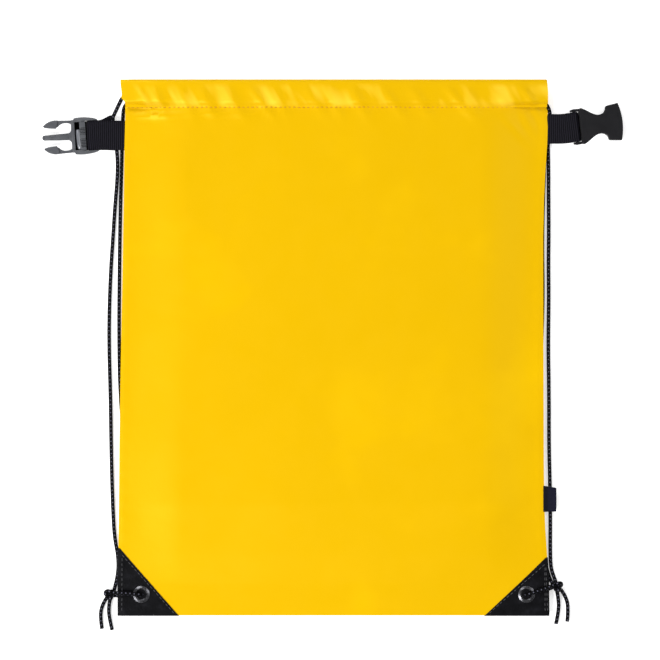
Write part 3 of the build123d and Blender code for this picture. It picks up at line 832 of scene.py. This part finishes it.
class DRYBAG_OT_patches(bpy.types.Operator):
    """Makes the black corner patches and their stitching"""
    bl_idname = "drybag.patches"
    bl_label = "Corner patches"

    def execute(self, context):
        sizes, cords = context.scene.drybag_cloth, context.scene.drybag_cords
        for name, side, edge_table in (("left", -1, LEFT_EDGE), ("right", 1, RIGHT_EDGE)):
            piece = patch_piece(name, side, edge_table)
            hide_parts(f"corner_patch_{name}")
            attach(piece, "bag")
            along_x, up_y = diagonal(name)
            edge = along(edge_table, BOTTOM_Y)

            def crest(x, y):
                return front_height(x, max(y, BOTTOM_Y), sizes) + sizes.patch

            inner = 3.6 * MM
            start = (edge - side * (along_x - inner), BOTTOM_Y + 1.5 * MM)
            end = (edge - side * 3.0 * MM, BOTTOM_Y + up_y - inner * 1.9)
            points = stitch_points(start, end, crest, cords, 0.1 * MM, 5)
            lines = [((edge - side * 3.2 * MM, BOTTOM_Y + 3 * MM), (edge - side * 3.4 * MM, BOTTOM_Y + up_y - 9 * MM))]
            if side > 0:
                lines.append(((edge - 1.2 * MM, BOTTOM_Y + 3 * MM), (edge - 2.6 * MM, BOTTOM_Y + up_y - 9 * MM)))
            for n, (a, b) in enumerate(lines):
                points += stitch_points(a, b, crest, cords, 0.1 * MM, 6 + n)
            row = stitch_line(f"patch_stitches_{name}", points, "thread", "patch_thread")
            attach(row, "bag")
        return {"FINISHED"}


# ---------------------------------------------------------------- cords


def spline_points(route):
    """Points along the smooth curve that a route's points control, in metres."""
    data = bpy.data.curves.new("route", "CURVE")
    data.dimensions = "3D"
    data.resolution_u = 10
    spline = data.splines.new("NURBS")
    spline.points.add(len(route) - 1)
    for point, place in zip(spline.points, route):
        point.co = (place[0] * MM, place[1] * MM, place[2] * MM, 1)
    spline.order_u = 3
    spline.use_endpoint_u = True
    holder = bpy.data.objects.new("route", data)
    bpy.context.scene.collection.objects.link(holder)
    mesh = bpy.data.meshes.new_from_object(holder)
    points = [v.co.copy() for v in mesh.vertices]
    bpy.data.objects.remove(holder)
    bpy.data.curves.remove(data)
    bpy.data.meshes.remove(mesh)
    return points


def even(points, step):
    """The same line with evenly spaced points."""
    lengths = [0.0]
    for a, b in zip(points, points[1:]):
        lengths.append(lengths[-1] + (b - a).length)
    count = max(4, round(lengths[-1] / step))
    out, k = [], 0
    for i in range(count + 1):
        s = lengths[-1] * i / count
        while k < len(points) - 2 and lengths[k + 1] < s:
            k += 1
        gap = lengths[k + 1] - lengths[k]
        out.append(points[k].lerp(points[k + 1], 0 if gap == 0 else (s - lengths[k]) / gap))
    return out


def tube(name, points, radius, closed=False, sides=14):
    """Round cord along points, with the lengths round and along it kept for the braid."""
    bm = bmesh.new()
    layer = bm.loops.layers.uv.new("braid")
    count = len(points)
    normal = Vector((0, 0, 1))
    rings, runs = [], [0.0]
    for i, p in enumerate(points):
        before = points[i - 1] if i or closed else p
        after = points[(i + 1) % count] if i < count - 1 or closed else p
        tangent = (after - before).normalized()
        normal = normal - tangent * normal.dot(tangent)
        normal = normal.normalized() if normal.length > 1e-6 else tangent.orthogonal().normalized()
        across = tangent.cross(normal)
        ring = []
        for k in range(sides):
            angle = 2 * math.pi * k / sides
            ring.append(bm.verts.new(p + (across * math.cos(angle) + normal * math.sin(angle)) * radius))
        rings.append(ring)
        if i:
            runs.append(runs[-1] + (p - points[i - 1]).length)
    period = 2 * math.pi / 10
    pairs = [(i, i + 1) for i in range(count - 1)] + ([(count - 1, 0)] if closed else [])
    for i, j in pairs:
        far = runs[j] if j else runs[-1] + (points[0] - points[-1]).length
        for k in range(sides):
            n = (k + 1) % sides
            face = bm.faces.new((rings[i][k], rings[i][n], rings[j][n], rings[j][k]))
            ends = [(runs[i], k), (runs[i], k + 1), (far, k + 1), (far, k)]
            for loop, (run, step) in zip(face.loops, ends):
                loop[layer].uv = (run / BRAID_PITCH * period, step / sides * 2 * period)
    if not closed:
        for ring in (rings[0], rings[-1]):
            middle = bm.verts.new(sum((v.co for v in ring), Vector()) / sides)
            for k in range(sides):
                bm.faces.new((ring[k], ring[(k + 1) % sides], middle))
    piece = mesh_object(name, bm)
    dress(piece, "cord")
    return piece


def split_at(points, y):
    """The three stretches of a cord: up to a line across the bag, beyond it, and after it."""
    first = next(i for i, p in enumerate(points) if p.y > y)
    last = len(points) - 1 - next(i for i, p in enumerate(reversed(points)) if p.y > y)

    def on_line(a, b):
        return a.lerp(b, (y - a.y) / (b.y - a.y))

    start, end = on_line(points[first - 1], points[first]), on_line(points[last + 1], points[last])
    return points[:first] + [start], [start] + points[first:last + 1] + [end], [end] + points[last + 1:]


class DRYBAG_OT_drawcords(bpy.types.Operator):
    """Makes the two drawcords, with their strands down the sides and through the hem"""
    bl_idname = "drybag.drawcords"
    bl_label = "Drawcords"

    def execute(self, context):
        radius = context.scene.drybag_cords.diameter / 2
        for name, route in (("left", LEFT_ROUTE), ("right", RIGHT_ROUTE)):
            outer, upper, inner = split_at(even(spline_points(route), CORD_STEP), CLOTH_SPLIT)
            for part, points in (("outer", outer), ("inner", inner[::-1])):
                piece = tube(f"drawcord_{name}_{part}", points, radius)
                bend(piece)
            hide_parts(f"drawcord_{name}_lower")
            piece = tube(f"drawcord_{name}_mouth", upper, radius)
            bend(piece)
            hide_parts(f"drawcord_{name}_middle", f"drawcord_{name}_upper")
        return {"FINISHED"}


def knot_points(middle, size):
    """Overhand knot closed on itself, flattened a little."""
    points = []
    for i in range(96):
        t = 2 * math.pi * i / 96
        x = math.sin(t) + 2 * math.sin(2 * t)
        y = math.cos(t) - 2 * math.cos(2 * t)
        z = -math.sin(3 * t)
        points.append(middle + Vector((x * size, y * size, z * size * 1.9)))
    return points


class DRYBAG_OT_knots(bpy.types.Operator):
    """Makes the cord knots with their tails, and the loops through the eyelets"""
    bl_idname = "drybag.knots"
    bl_label = "Knots"

    def execute(self, context):
        radius = context.scene.drybag_cords.diameter / 2
        for name, loop, tails in (("left", LEFT_LOOP, LEFT_TAILS), ("right", RIGHT_LOOP, RIGHT_TAILS)):
            low, high = (Vector(c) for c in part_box(f"cord_knot_{name}"))
            parts = [tube("part", knot_points((low + high) / 2, 1.28 * MM), radius * 0.98, closed=True)]
            parts += [tube("part", even(spline_points(tail), LOOP_STEP), radius) for tail in tails]
            knot = join(f"knot_{name}", parts)
            dress(knot, "cord")
            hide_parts(f"cord_knot_{name}", f"cord_tails_{name}")
            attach(knot, "bag")
            points = even(spline_points(loop), LOOP_STEP)
            piece = tube(f"eyelet_loop_{name}", points, radius)
            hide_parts(f"cord_loop_{name}")
            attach(piece, "bag")
        return {"FINISHED"}


# ---------------------------------------------------------------- straps, label, hardware


def band(name, middle_line, place, width, thick, half_steps=7):
    """Flat band along a line of (along, up) points, put in its place by a function of (along, across, up)."""
    bm = bmesh.new()
    layer = bm.loops.layers.uv.new("weave")
    rows, lengths, run = [], [], 0.0
    count = len(middle_line)
    shares = [k / half_steps for k in range(-half_steps, half_steps + 1)]
    profile = [(t, thick / 2 * (1 - 0.55 * abs(t) ** 8)) for t in shares]
    profile += [(t, -rise) for t, rise in reversed(profile)]
    for i, (u, w) in enumerate(middle_line):
        before = middle_line[max(i - 1, 0)]
        after = middle_line[min(i + 1, count - 1)]
        du, dw = after[0] - before[0], after[1] - before[1]
        size = math.hypot(du, dw) or 1.0
        nu, nw = -dw / size, du / size
        if i:
            run += math.hypot(u - middle_line[i - 1][0], w - middle_line[i - 1][1])
        lengths.append(run)
        rows.append([bm.verts.new(place(u + nu * rise, t * width / 2, w + nw * rise)) for t, rise in profile])
    around = len(profile)
    for i in range(count - 1):
        for k in range(around):
            n = (k + 1) % around
            face = bm.faces.new((rows[i][k], rows[i][n], rows[i + 1][n], rows[i + 1][k]))
            for loop, (row, col) in zip(face.loops, ((i, k), (i, n), (i + 1, n), (i + 1, k))):
                loop[layer].uv = (lengths[row] / MM, profile[col][0] * width / 2 / MM)
    bm.faces.new(rows[0])
    bm.faces.new(rows[-1])
    return mesh_object(name, bm)


def arc(radius, start, end, steps):
    """Points of an arc round the bar, in degrees from the forward direction."""
    return [(radius * math.cos(math.radians(start + (end - start) * i / steps)),
             radius * math.sin(math.radians(start + (end - start) * i / steps))) for i in range(steps + 1)]


def straight(a, b, steps):
    return [(a[0] + (b[0] - a[0]) * i / steps, a[1] + (b[1] - a[1]) * i / steps) for i in range(steps)]


def strap_place(bar, turn, root_turn, shift):
    """Turns a strap with its buckle at the bar and squares it to the bag at its root."""
    def place(u, v, w):
        share = ease(-u / (20 * MM))
        angle = math.radians(turn + (root_turn - turn) * share)
        x = math.cos(angle) * u - math.sin(angle) * v
        y = math.sin(angle) * u + math.cos(angle) * v + shift * share
        return (bar.x + x, bar.y + y, bar.z + w)
    return place


def strap(name, line, place):
    """Webbing along a line, bending where it leaves the side seam."""
    sizes = bpy.context.scene.drybag_cords
    piece = band(f"strap_{name}_webbing", line, place, sizes.webbing, sizes.webbing_thick)
    dress(piece, "webbing")
    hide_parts(f"webbing_{name}")
    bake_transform(piece)


class DRYBAG_OT_straps(bpy.types.Operator):
    """Makes the two webbing straps, folded round the bars of the buckle halves"""
    bl_idname = "drybag.straps"
    bl_label = "Webbing straps"

    def execute(self, context):
        thick = context.scene.drybag_cords.webbing_thick
        wrap = BAR_RADIUS + BAR_GAP + thick / 2
        root = SEAM_LOW + 0.35 * MM
        line = straight((-30 * MM, root - MALE_AT.z), (-6 * MM, wrap), 12) + straight((-6 * MM, wrap), (0, wrap), 4)
        line += arc(wrap, 90, -90, 16) + straight((-1 * MM, -wrap), (-20 * MM, -wrap), 12) + [(-20 * MM, -wrap)]
        place = strap_place(MALE_BAR, MALE_TURN, 180.0, 0.0)

        def left_place(u, v, w):
            """Lets the tail under the strap stand out past its upper edge."""
            x, y, z = place(u, v, w)
            if w < 0 and v < 0:
                bulge = math.exp(-(((x + 185 * MM) / (6.5 * MM)) ** 2)) if x < -185 * MM else 1.0
                y += 4.6 * MM * bulge * ease(-v / (10 * MM))
            return (x, y, z)

        strap("left", line, left_place)
        low = 0.2 * MM
        high = low + (thick + 0.1 * MM)
        line = straight((-26.5 * MM, 0.1 * MM), (-22.0 * MM, high - 0.4 * MM), 4)
        line += straight((-22.0 * MM, high - 0.4 * MM), (-17 * MM, high), 4)
        line += straight((-17 * MM, high), (-6 * MM, wrap), 6) + straight((-6 * MM, wrap), (0, wrap), 4)
        line += arc(wrap, 90, -90, 16) + straight((-1 * MM, -wrap), (-6 * MM, -wrap), 4)
        line += straight((-6 * MM, -wrap), (-17 * MM, low), 6) + straight((-17 * MM, low), (-26.5 * MM, -0.6 * MM), 5)
        strap("right", line, strap_place(FEMALE_AT, FEMALE_TURN, 0.0, -1.6 * MM))
        return {"FINISHED"}


def slab(name, outlines, edge):
    """Moulded plates from outlines in millimetres: each is its points and its low and high faces."""
    bm = bmesh.new()
    for points, low, high in outlines:
        rings = [[bm.verts.new((u * MM, v * MM, z * MM)) for u, v in points] for z in (low, high)]
        grid_faces(bm, rings, closed=True)
        bm.faces.new(rings[0])
        bm.faces.new(rings[1])
    piece = mesh_object(name, bm)
    soften(piece, edge)
    apply_modifiers(piece)
    piece.data.set_sharp_from_angle(angle=math.radians(35))
    return piece


def soften(piece, edge):
    """Rounds a moulding's edges, by millimetres."""
    rounding = piece.modifiers.new("softened edges", "BEVEL")
    rounding.width = edge * MM
    rounding.segments = 3
    rounding.limit_method = "ANGLE"
    rounding.angle_limit = math.radians(40)


def rounded(points, steps=6):
    """Outline smoothed through its points; a point with a third value stays a corner."""
    out = []
    count = len(points)
    for i in range(count):
        p0, p1, p2, p3 = (points[(i + k) % count] for k in (-1, 0, 1, 2))
        if len(p1) == 3 and len(p2) == 3:
            out.append(p1[:2])
            continue
        p0 = p1 if len(p1) == 3 else p0
        p3 = p2 if len(p2) == 3 else p3
        for k in range(steps):
            t = k / steps
            out.append(tuple(0.5 * (2 * b + (c - a) * t + (2 * a - 5 * b + 4 * c - d) * t * t
                                    + (3 * b - a - 3 * c + d) * t ** 3)
                             for a, b, c, d in zip(p0[:2], p1[:2], p2[:2], p3[:2])))
    return out


def mirrored(points):
    return [(p[0], -p[1], *p[2:]) for p in points][::-1]


def rod(points, radius, squash=1.0, sides=16):
    """Rounded bar along points, as rings of places, in millimetres."""
    rings = []
    count = len(points)
    for i, (u, v, z) in enumerate(points):
        near = min(i, count - 1 - i)
        size = radius * (0.55, 0.85, 1.0)[min(near, 2)]
        rings.append([(u + size * math.cos(a), v, z + size * squash * math.sin(a))
                      for a in (2 * math.pi * k / sides for k in range(sides))])
    return rings


def rods(name, runs):
    """One piece from the rings of several rods."""
    bm = bmesh.new()
    for rings in runs:
        rows = [[bm.verts.new((u * MM, v * MM, z * MM)) for u, v, z in ring] for ring in rings]
        grid_faces(bm, rows, closed=True)
        bm.faces.new(rows[0])
        bm.faces.new(rows[-1])
    return mesh_object(name, bm)


# Outlines of the male half, forward from its bar and across it, in millimetres; a third value marks a corner
RAIL = [(-6.3, 12.5, 1), (-5.6, 13.4), (-2.0, 14.5), (5.0, 15.4), (10.0, 15.3), (13.3, 14.9, 1), (13.4, 13.6, 1),
        (15.6, 13.4, 1), (15.9, 11.6, 1), (9.0, 11.8, 1), (4.0, 12.6, 1)]
NOSE = [(13.1, -12.0, 1), (15.9, -11.2, 1), (15.95, -7.0, 1), (16.1, -4.8), (17.6, -3.1), (20.0, -2.8, 1),
        (37.6, -2.1, 1), (39.6, -1.7), (40.2, 0.0), (39.6, 1.7), (37.6, 2.1, 1), (20.0, 2.8, 1), (17.6, 3.1),
        (16.1, 4.8), (15.95, 7.0, 1), (15.9, 11.2, 1), (13.1, 12.0, 1)]
FACET = [(18.5, -1.9), (38.0, -1.2), (38.0, 1.2), (18.5, 1.9)]
ARM = [(13.6, 13.3, 1), (26.6, 13.8, 1), (28.6, 13.6, 1), (28.9, 7.9, 1), (26.9, 8.7), (25.0, 10.3), (22.2, 11.3),
       (18.4, 11.2), (16.4, 10.4), (15.3, 9.4, 1), (13.6, 10.6, 1)]
BARB = [(26.4, 13.9, 1), (29.4, 14.1), (32.4, 13.6), (35.8, 12.3), (38.6, 10.2), (39.0, 9.3), (38.4, 8.6), (37.0, 8.2),
        (33.0, 7.6), (28.7, 7.2, 1), (28.0, 8.0, 1)]
# The locking bar: forward, across, up
LEAF = [(10.3, -5.6, 1.0), (10.3, -5.2, 1.2), (10.3, -4.4, 1.35), (10.2, 1.0, 1.45), (9.9, 6.0, 1.35), (9.5, 9.6, 1.1),
        (9.1, 11.4, 0.6), (8.9, 12.0, 0.3)]
PLATE_GROOVES = [-6.6, -5.3, -4.0, -2.7, -1.4, 2.6, 3.9, 5.2, 6.5, 7.8, 9.1]


def seat(piece, bar=MALE_BAR, turn=MALE_TURN):
    """Puts a piece made about a bar into its place on the strap."""
    piece.data.transform(Matrix.Translation(bar) @ Matrix.Rotation(math.radians(turn), 4, "Z"))


def block(u0, u1, v0, v1, low, high):
    """Square-cornered plate, for slab."""
    return [(u0, v0), (u1, v0), (u1, v1), (u0, v1)], low, high


class DRYBAG_OT_male_half(bpy.types.Operator):
    """Makes the buckle's male half: rails, ribbed plate, bars and prong, and its two sprung arms"""
    bl_idname = "drybag.male_half"
    bl_label = "Male half"

    def execute(self, context):
        plates = [(rounded(RAIL), -3.4, 3.3), (rounded(mirrored(RAIL)), -3.4, 3.3), (rounded(NOSE), -1.9, 1.7),
                  block(13.0, 15.8, -12, 12, -2.8, 2.8), block(4.1, 8.8, -12.8, 12.8, -0.6, 0.9)]
        frame_part = slab("part", plates, 0.4)
        cuts = [-12.9, *PLATE_GROOVES, 12.9]
        tiles = [block(4.1, 8.9, a + 0.25, b - 0.25, 0.6, 2.3) for a, b in zip(cuts, cuts[1:])]
        rib_part = slab("part", tiles, 0.15)
        facet = slab("part", [(FACET, 1.3, 2.1)], 0.2)
        bar = rod([(0, v, 0) for v in (-13.2, -13.0, -12.6, 0, 12.6, 13.0, 13.2)], 1.1)
        piece = join("male_frame", [frame_part, rib_part, facet, rods("part", [bar])])
        seat(piece)
        dress(piece, "male_plastic")
        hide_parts("buckle_male_frame")
        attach(piece, "buckle_male")
        leaf = rods("male_locking_bar", [rod(LEAF, 1.7, 0.8)])
        seat(leaf)
        # The locking bar wears the lighter copy of the moulding: a painted highlight
        dress(leaf, "male_plastic", "polished_plastic_painted_highlight")
        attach(leaf, "buckle_male")
        # Painted shade: dark plates under the slots and under the ribbed plate's grooves, so the gaps and grooves read
        # black
        shade_plates = [block(8.0, 13.6, -12.2, 12.2, -2.9, -2.2), block(4.3, 8.7, -9.8, 9.8, 0.5, 1.3),
                  block(3.1, 4.6, -12.2, 12.2, -3.35, -2.85)]
        slot_shade_piece = slab("male_slot_painted_shade", shade_plates, 0.1)
        seat(slot_shade_piece)
        dress(slot_shade_piece, "male_plastic", "slot_shade")
        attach(slot_shade_piece, "buckle_male")
        for side, name in ((-1, "upper"), (1, "lower")):
            shaft, barb = (rounded(points if side > 0 else mirrored(points)) for points in (ARM, BARB))
            arm = join(f"male_arm_{name}", [slab("part", [(shaft, -1.5, 0.7)], 0.35),
                                            slab("part", [(barb, -1.9, 2.4)], 0.6)])
            seat(arm)
            dress(arm, "male_plastic")
            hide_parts(f"buckle_arm_{name}")
            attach(arm, f"arm_{name}")
        return {"FINISHED"}


class DRYBAG_OT_hardware(bpy.types.Operator):
    """Gives the moulded socket and the eyelets their finishes and softened edges"""
    bl_idname = "drybag.hardware"
    bl_label = "Socket and eyelets"

    def execute(self, context):
        finishes = {"buckle_female": "female_plastic"}
        for node in ("eyelet_left", "eyelet_right", "eyelet_washer_left", "eyelet_washer_right"):
            finishes[node] = "eyelet_metal"
        for node, finish in finishes.items():
            part = frame["nodes"][node]
            for material_slot in part.material_slots:
                material_slot.material = finish_named(finish)
        soften(frame["nodes"]["buckle_female"], 0.25)
        # Painted shade: a dark plate under the socket's slot, so the gap reads black
        shade = slab("female_slot_painted_shade", [block(2.7, 4.3, -11.8, 11.8, -3.4, -2.7)], 0.1)
        seat(shade, FEMALE_AT, FEMALE_TURN)
        dress(shade, "female_plastic", "slot_shade")
        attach(shade, "buckle_female")
        return {"FINISHED"}


class DRYBAG_OT_label(bpy.types.Operator):
    """Makes the folded woven label in the right side seam"""
    bl_idname = "drybag.label"
    bl_label = "Side label"

    def execute(self, context):
        low, high = (Vector(c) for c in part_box("side_label"))
        thick = 0.55 * MM
        reach, gap = high.x - low.x, (high.z - low.z - thick) / 2
        middle = (low + high) / 2
        line = straight((-0.8 * MM, gap * 0.6), (reach - gap - thick / 2, gap), 8)
        line += [(reach - gap - thick / 2 + gap * math.cos(a), gap * math.sin(a))
                 for a in (math.radians(90 - 18 * i) for i in range(11))]
        line += straight((reach - gap - thick / 2, -gap), (-0.8 * MM, -gap * 0.6), 8)[1:]

        def place(u, v, w):
            curl = 0.5 * MM * math.sin(math.pi * (v / 21.6 / MM + 0.5)) * (u / reach)
            slant = 1.4 * MM * (u / reach) * max(v, 0) / (10.8 * MM)
            return (low.x + 0.5 * MM + u, middle.y + v * (1 - 0.02 * u / reach) - slant, middle.z + w + curl)

        piece = band("woven_label", line, place, high.y - low.y, thick, 12)
        layer = piece.data.uv_layers["weave"].data
        for loop in piece.data.loops:
            layer[loop.index].uv = ((piece.data.vertices[loop.vertex_index].co.x - low.x) / reach, 0)
        dress(piece, "label_cloth")
        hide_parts("side_label")
        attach(piece, "label")
        return {"FINISHED"}


# ---------------------------------------------------------------- stage


def area_light(name, place, aim, size, power):
    data = bpy.data.lights.new(name, "AREA")
    data.shape = "DISK"
    data.size = size
    data.energy = power
    lamp = bpy.data.objects.new(name, data)
    lamp.location = place
    lamp.rotation_euler = (Vector(aim) - Vector(place)).to_track_quat("-Z", "Y").to_euler()
    bpy.context.scene.collection.objects.link(lamp)
    return lamp


class DRYBAG_OT_stage(bpy.types.Operator):
    """Sets up the pale floor, the soft light and the camera straight above the bag"""
    bl_idname = "drybag.stage"
    bl_label = "Stage"

    def execute(self, context):
        scene = context.scene
        bm = bmesh.new()
        bmesh.ops.create_grid(bm, x_segments=8, y_segments=8, size=4.0)
        floor = mesh_object("floor", bm)
        floor.location.z = -0.0004
        material, tree, shader = new_material("pale_floor", (0.93, 0.93, 0.93), 0.9)
        tone = noise(tree, coordinates(tree, (1, 1, 1)), 3, 2)
        tree.links.new(ramp(tree, tone, [(0.3, (0.925, 0.925, 0.925)), (0.7, (0.935, 0.935, 0.935))]),
                  shader.inputs["Base Color"])
        shader.inputs["Emission Color"].default_value = (1.0, 1.0, 1.0, 1)
        shader.inputs["Emission Strength"].default_value = 0.55
        floor.data.materials.append(material)
        world = bpy.data.worlds.new("soft room")
        world.use_nodes = True
        world.node_tree.nodes["Background"].inputs["Color"].default_value = (1.0, 1.0, 1.0, 1)
        world.node_tree.nodes["Background"].inputs["Strength"].default_value = 0.32
        scene.world = world
        area_light("key", (-1.15, -1.1, 1.75), (0, 0, 0), 1.0, 50)
        area_light("window", (-0.9, 1.5, 1.7), (0, 0, 0), 1.0, 22)
        area_light("fill", (1.6, 0.5, 1.9), (0, 0, 0), 1.4, 16)
        camera = bpy.data.objects.new("camera", bpy.data.cameras.new("camera"))
        camera.data.sensor_width = 36
        distance, width = 3.2, 0.548
        camera.data.lens = 36 * distance / width
        camera.data.clip_end = 20
        camera.location = (-0.0033, 0.0146, distance + 0.008)
        scene.collection.objects.link(camera)
        scene.camera = camera
        scene.view_settings.view_transform = "Standard"
        return {"FINISHED"}


class DRYBAG_PT_maker(bpy.types.Panel):
    """Lists the steps that make the bag"""
    bl_idname = "DRYBAG_PT_maker"
    bl_label = "Dry bag"
    bl_space_type = "VIEW_3D"
    bl_region_type = "UI"
    bl_category = "Dry bag"

    def draw(self, context):
        for group in (context.scene.drybag_cloth, context.scene.drybag_cords, context.scene.drybag_finishes):
            for key in group.bl_rna.properties.keys():
                if key not in ("rna_type", "name"):
                    self.layout.prop(group, key)
        for step in STEPS:
            self.layout.operator(step.bl_idname)


STEPS = (DRYBAG_OT_stage, DRYBAG_OT_drawcords, DRYBAG_OT_knots, DRYBAG_OT_cloth, DRYBAG_OT_hem,
         DRYBAG_OT_patches, DRYBAG_OT_straps, DRYBAG_OT_male_half, DRYBAG_OT_hardware, DRYBAG_OT_label)
GROUPS = (ClothSizes, CordSizes, Finishes)


def register():
    for item in GROUPS + STEPS + (DRYBAG_PT_maker,):
        bpy.utils.register_class(item)
    bpy.types.Scene.drybag_cloth = bpy.props.PointerProperty(type=ClothSizes)
    bpy.types.Scene.drybag_cords = bpy.props.PointerProperty(type=CordSizes)
    bpy.types.Scene.drybag_finishes = bpy.props.PointerProperty(type=Finishes)


def unregister():
    del bpy.types.Scene.drybag_cloth
    del bpy.types.Scene.drybag_cords
    del bpy.types.Scene.drybag_finishes
    for item in reversed(GROUPS + STEPS + (DRYBAG_PT_maker,)):
        bpy.utils.unregister_class(item)


def main():
    register()
    for step in STEPS:
        group, name = step.bl_idname.split(".")
        getattr(getattr(bpy.ops, group), name)()


if __name__ == "__main__":
    main()
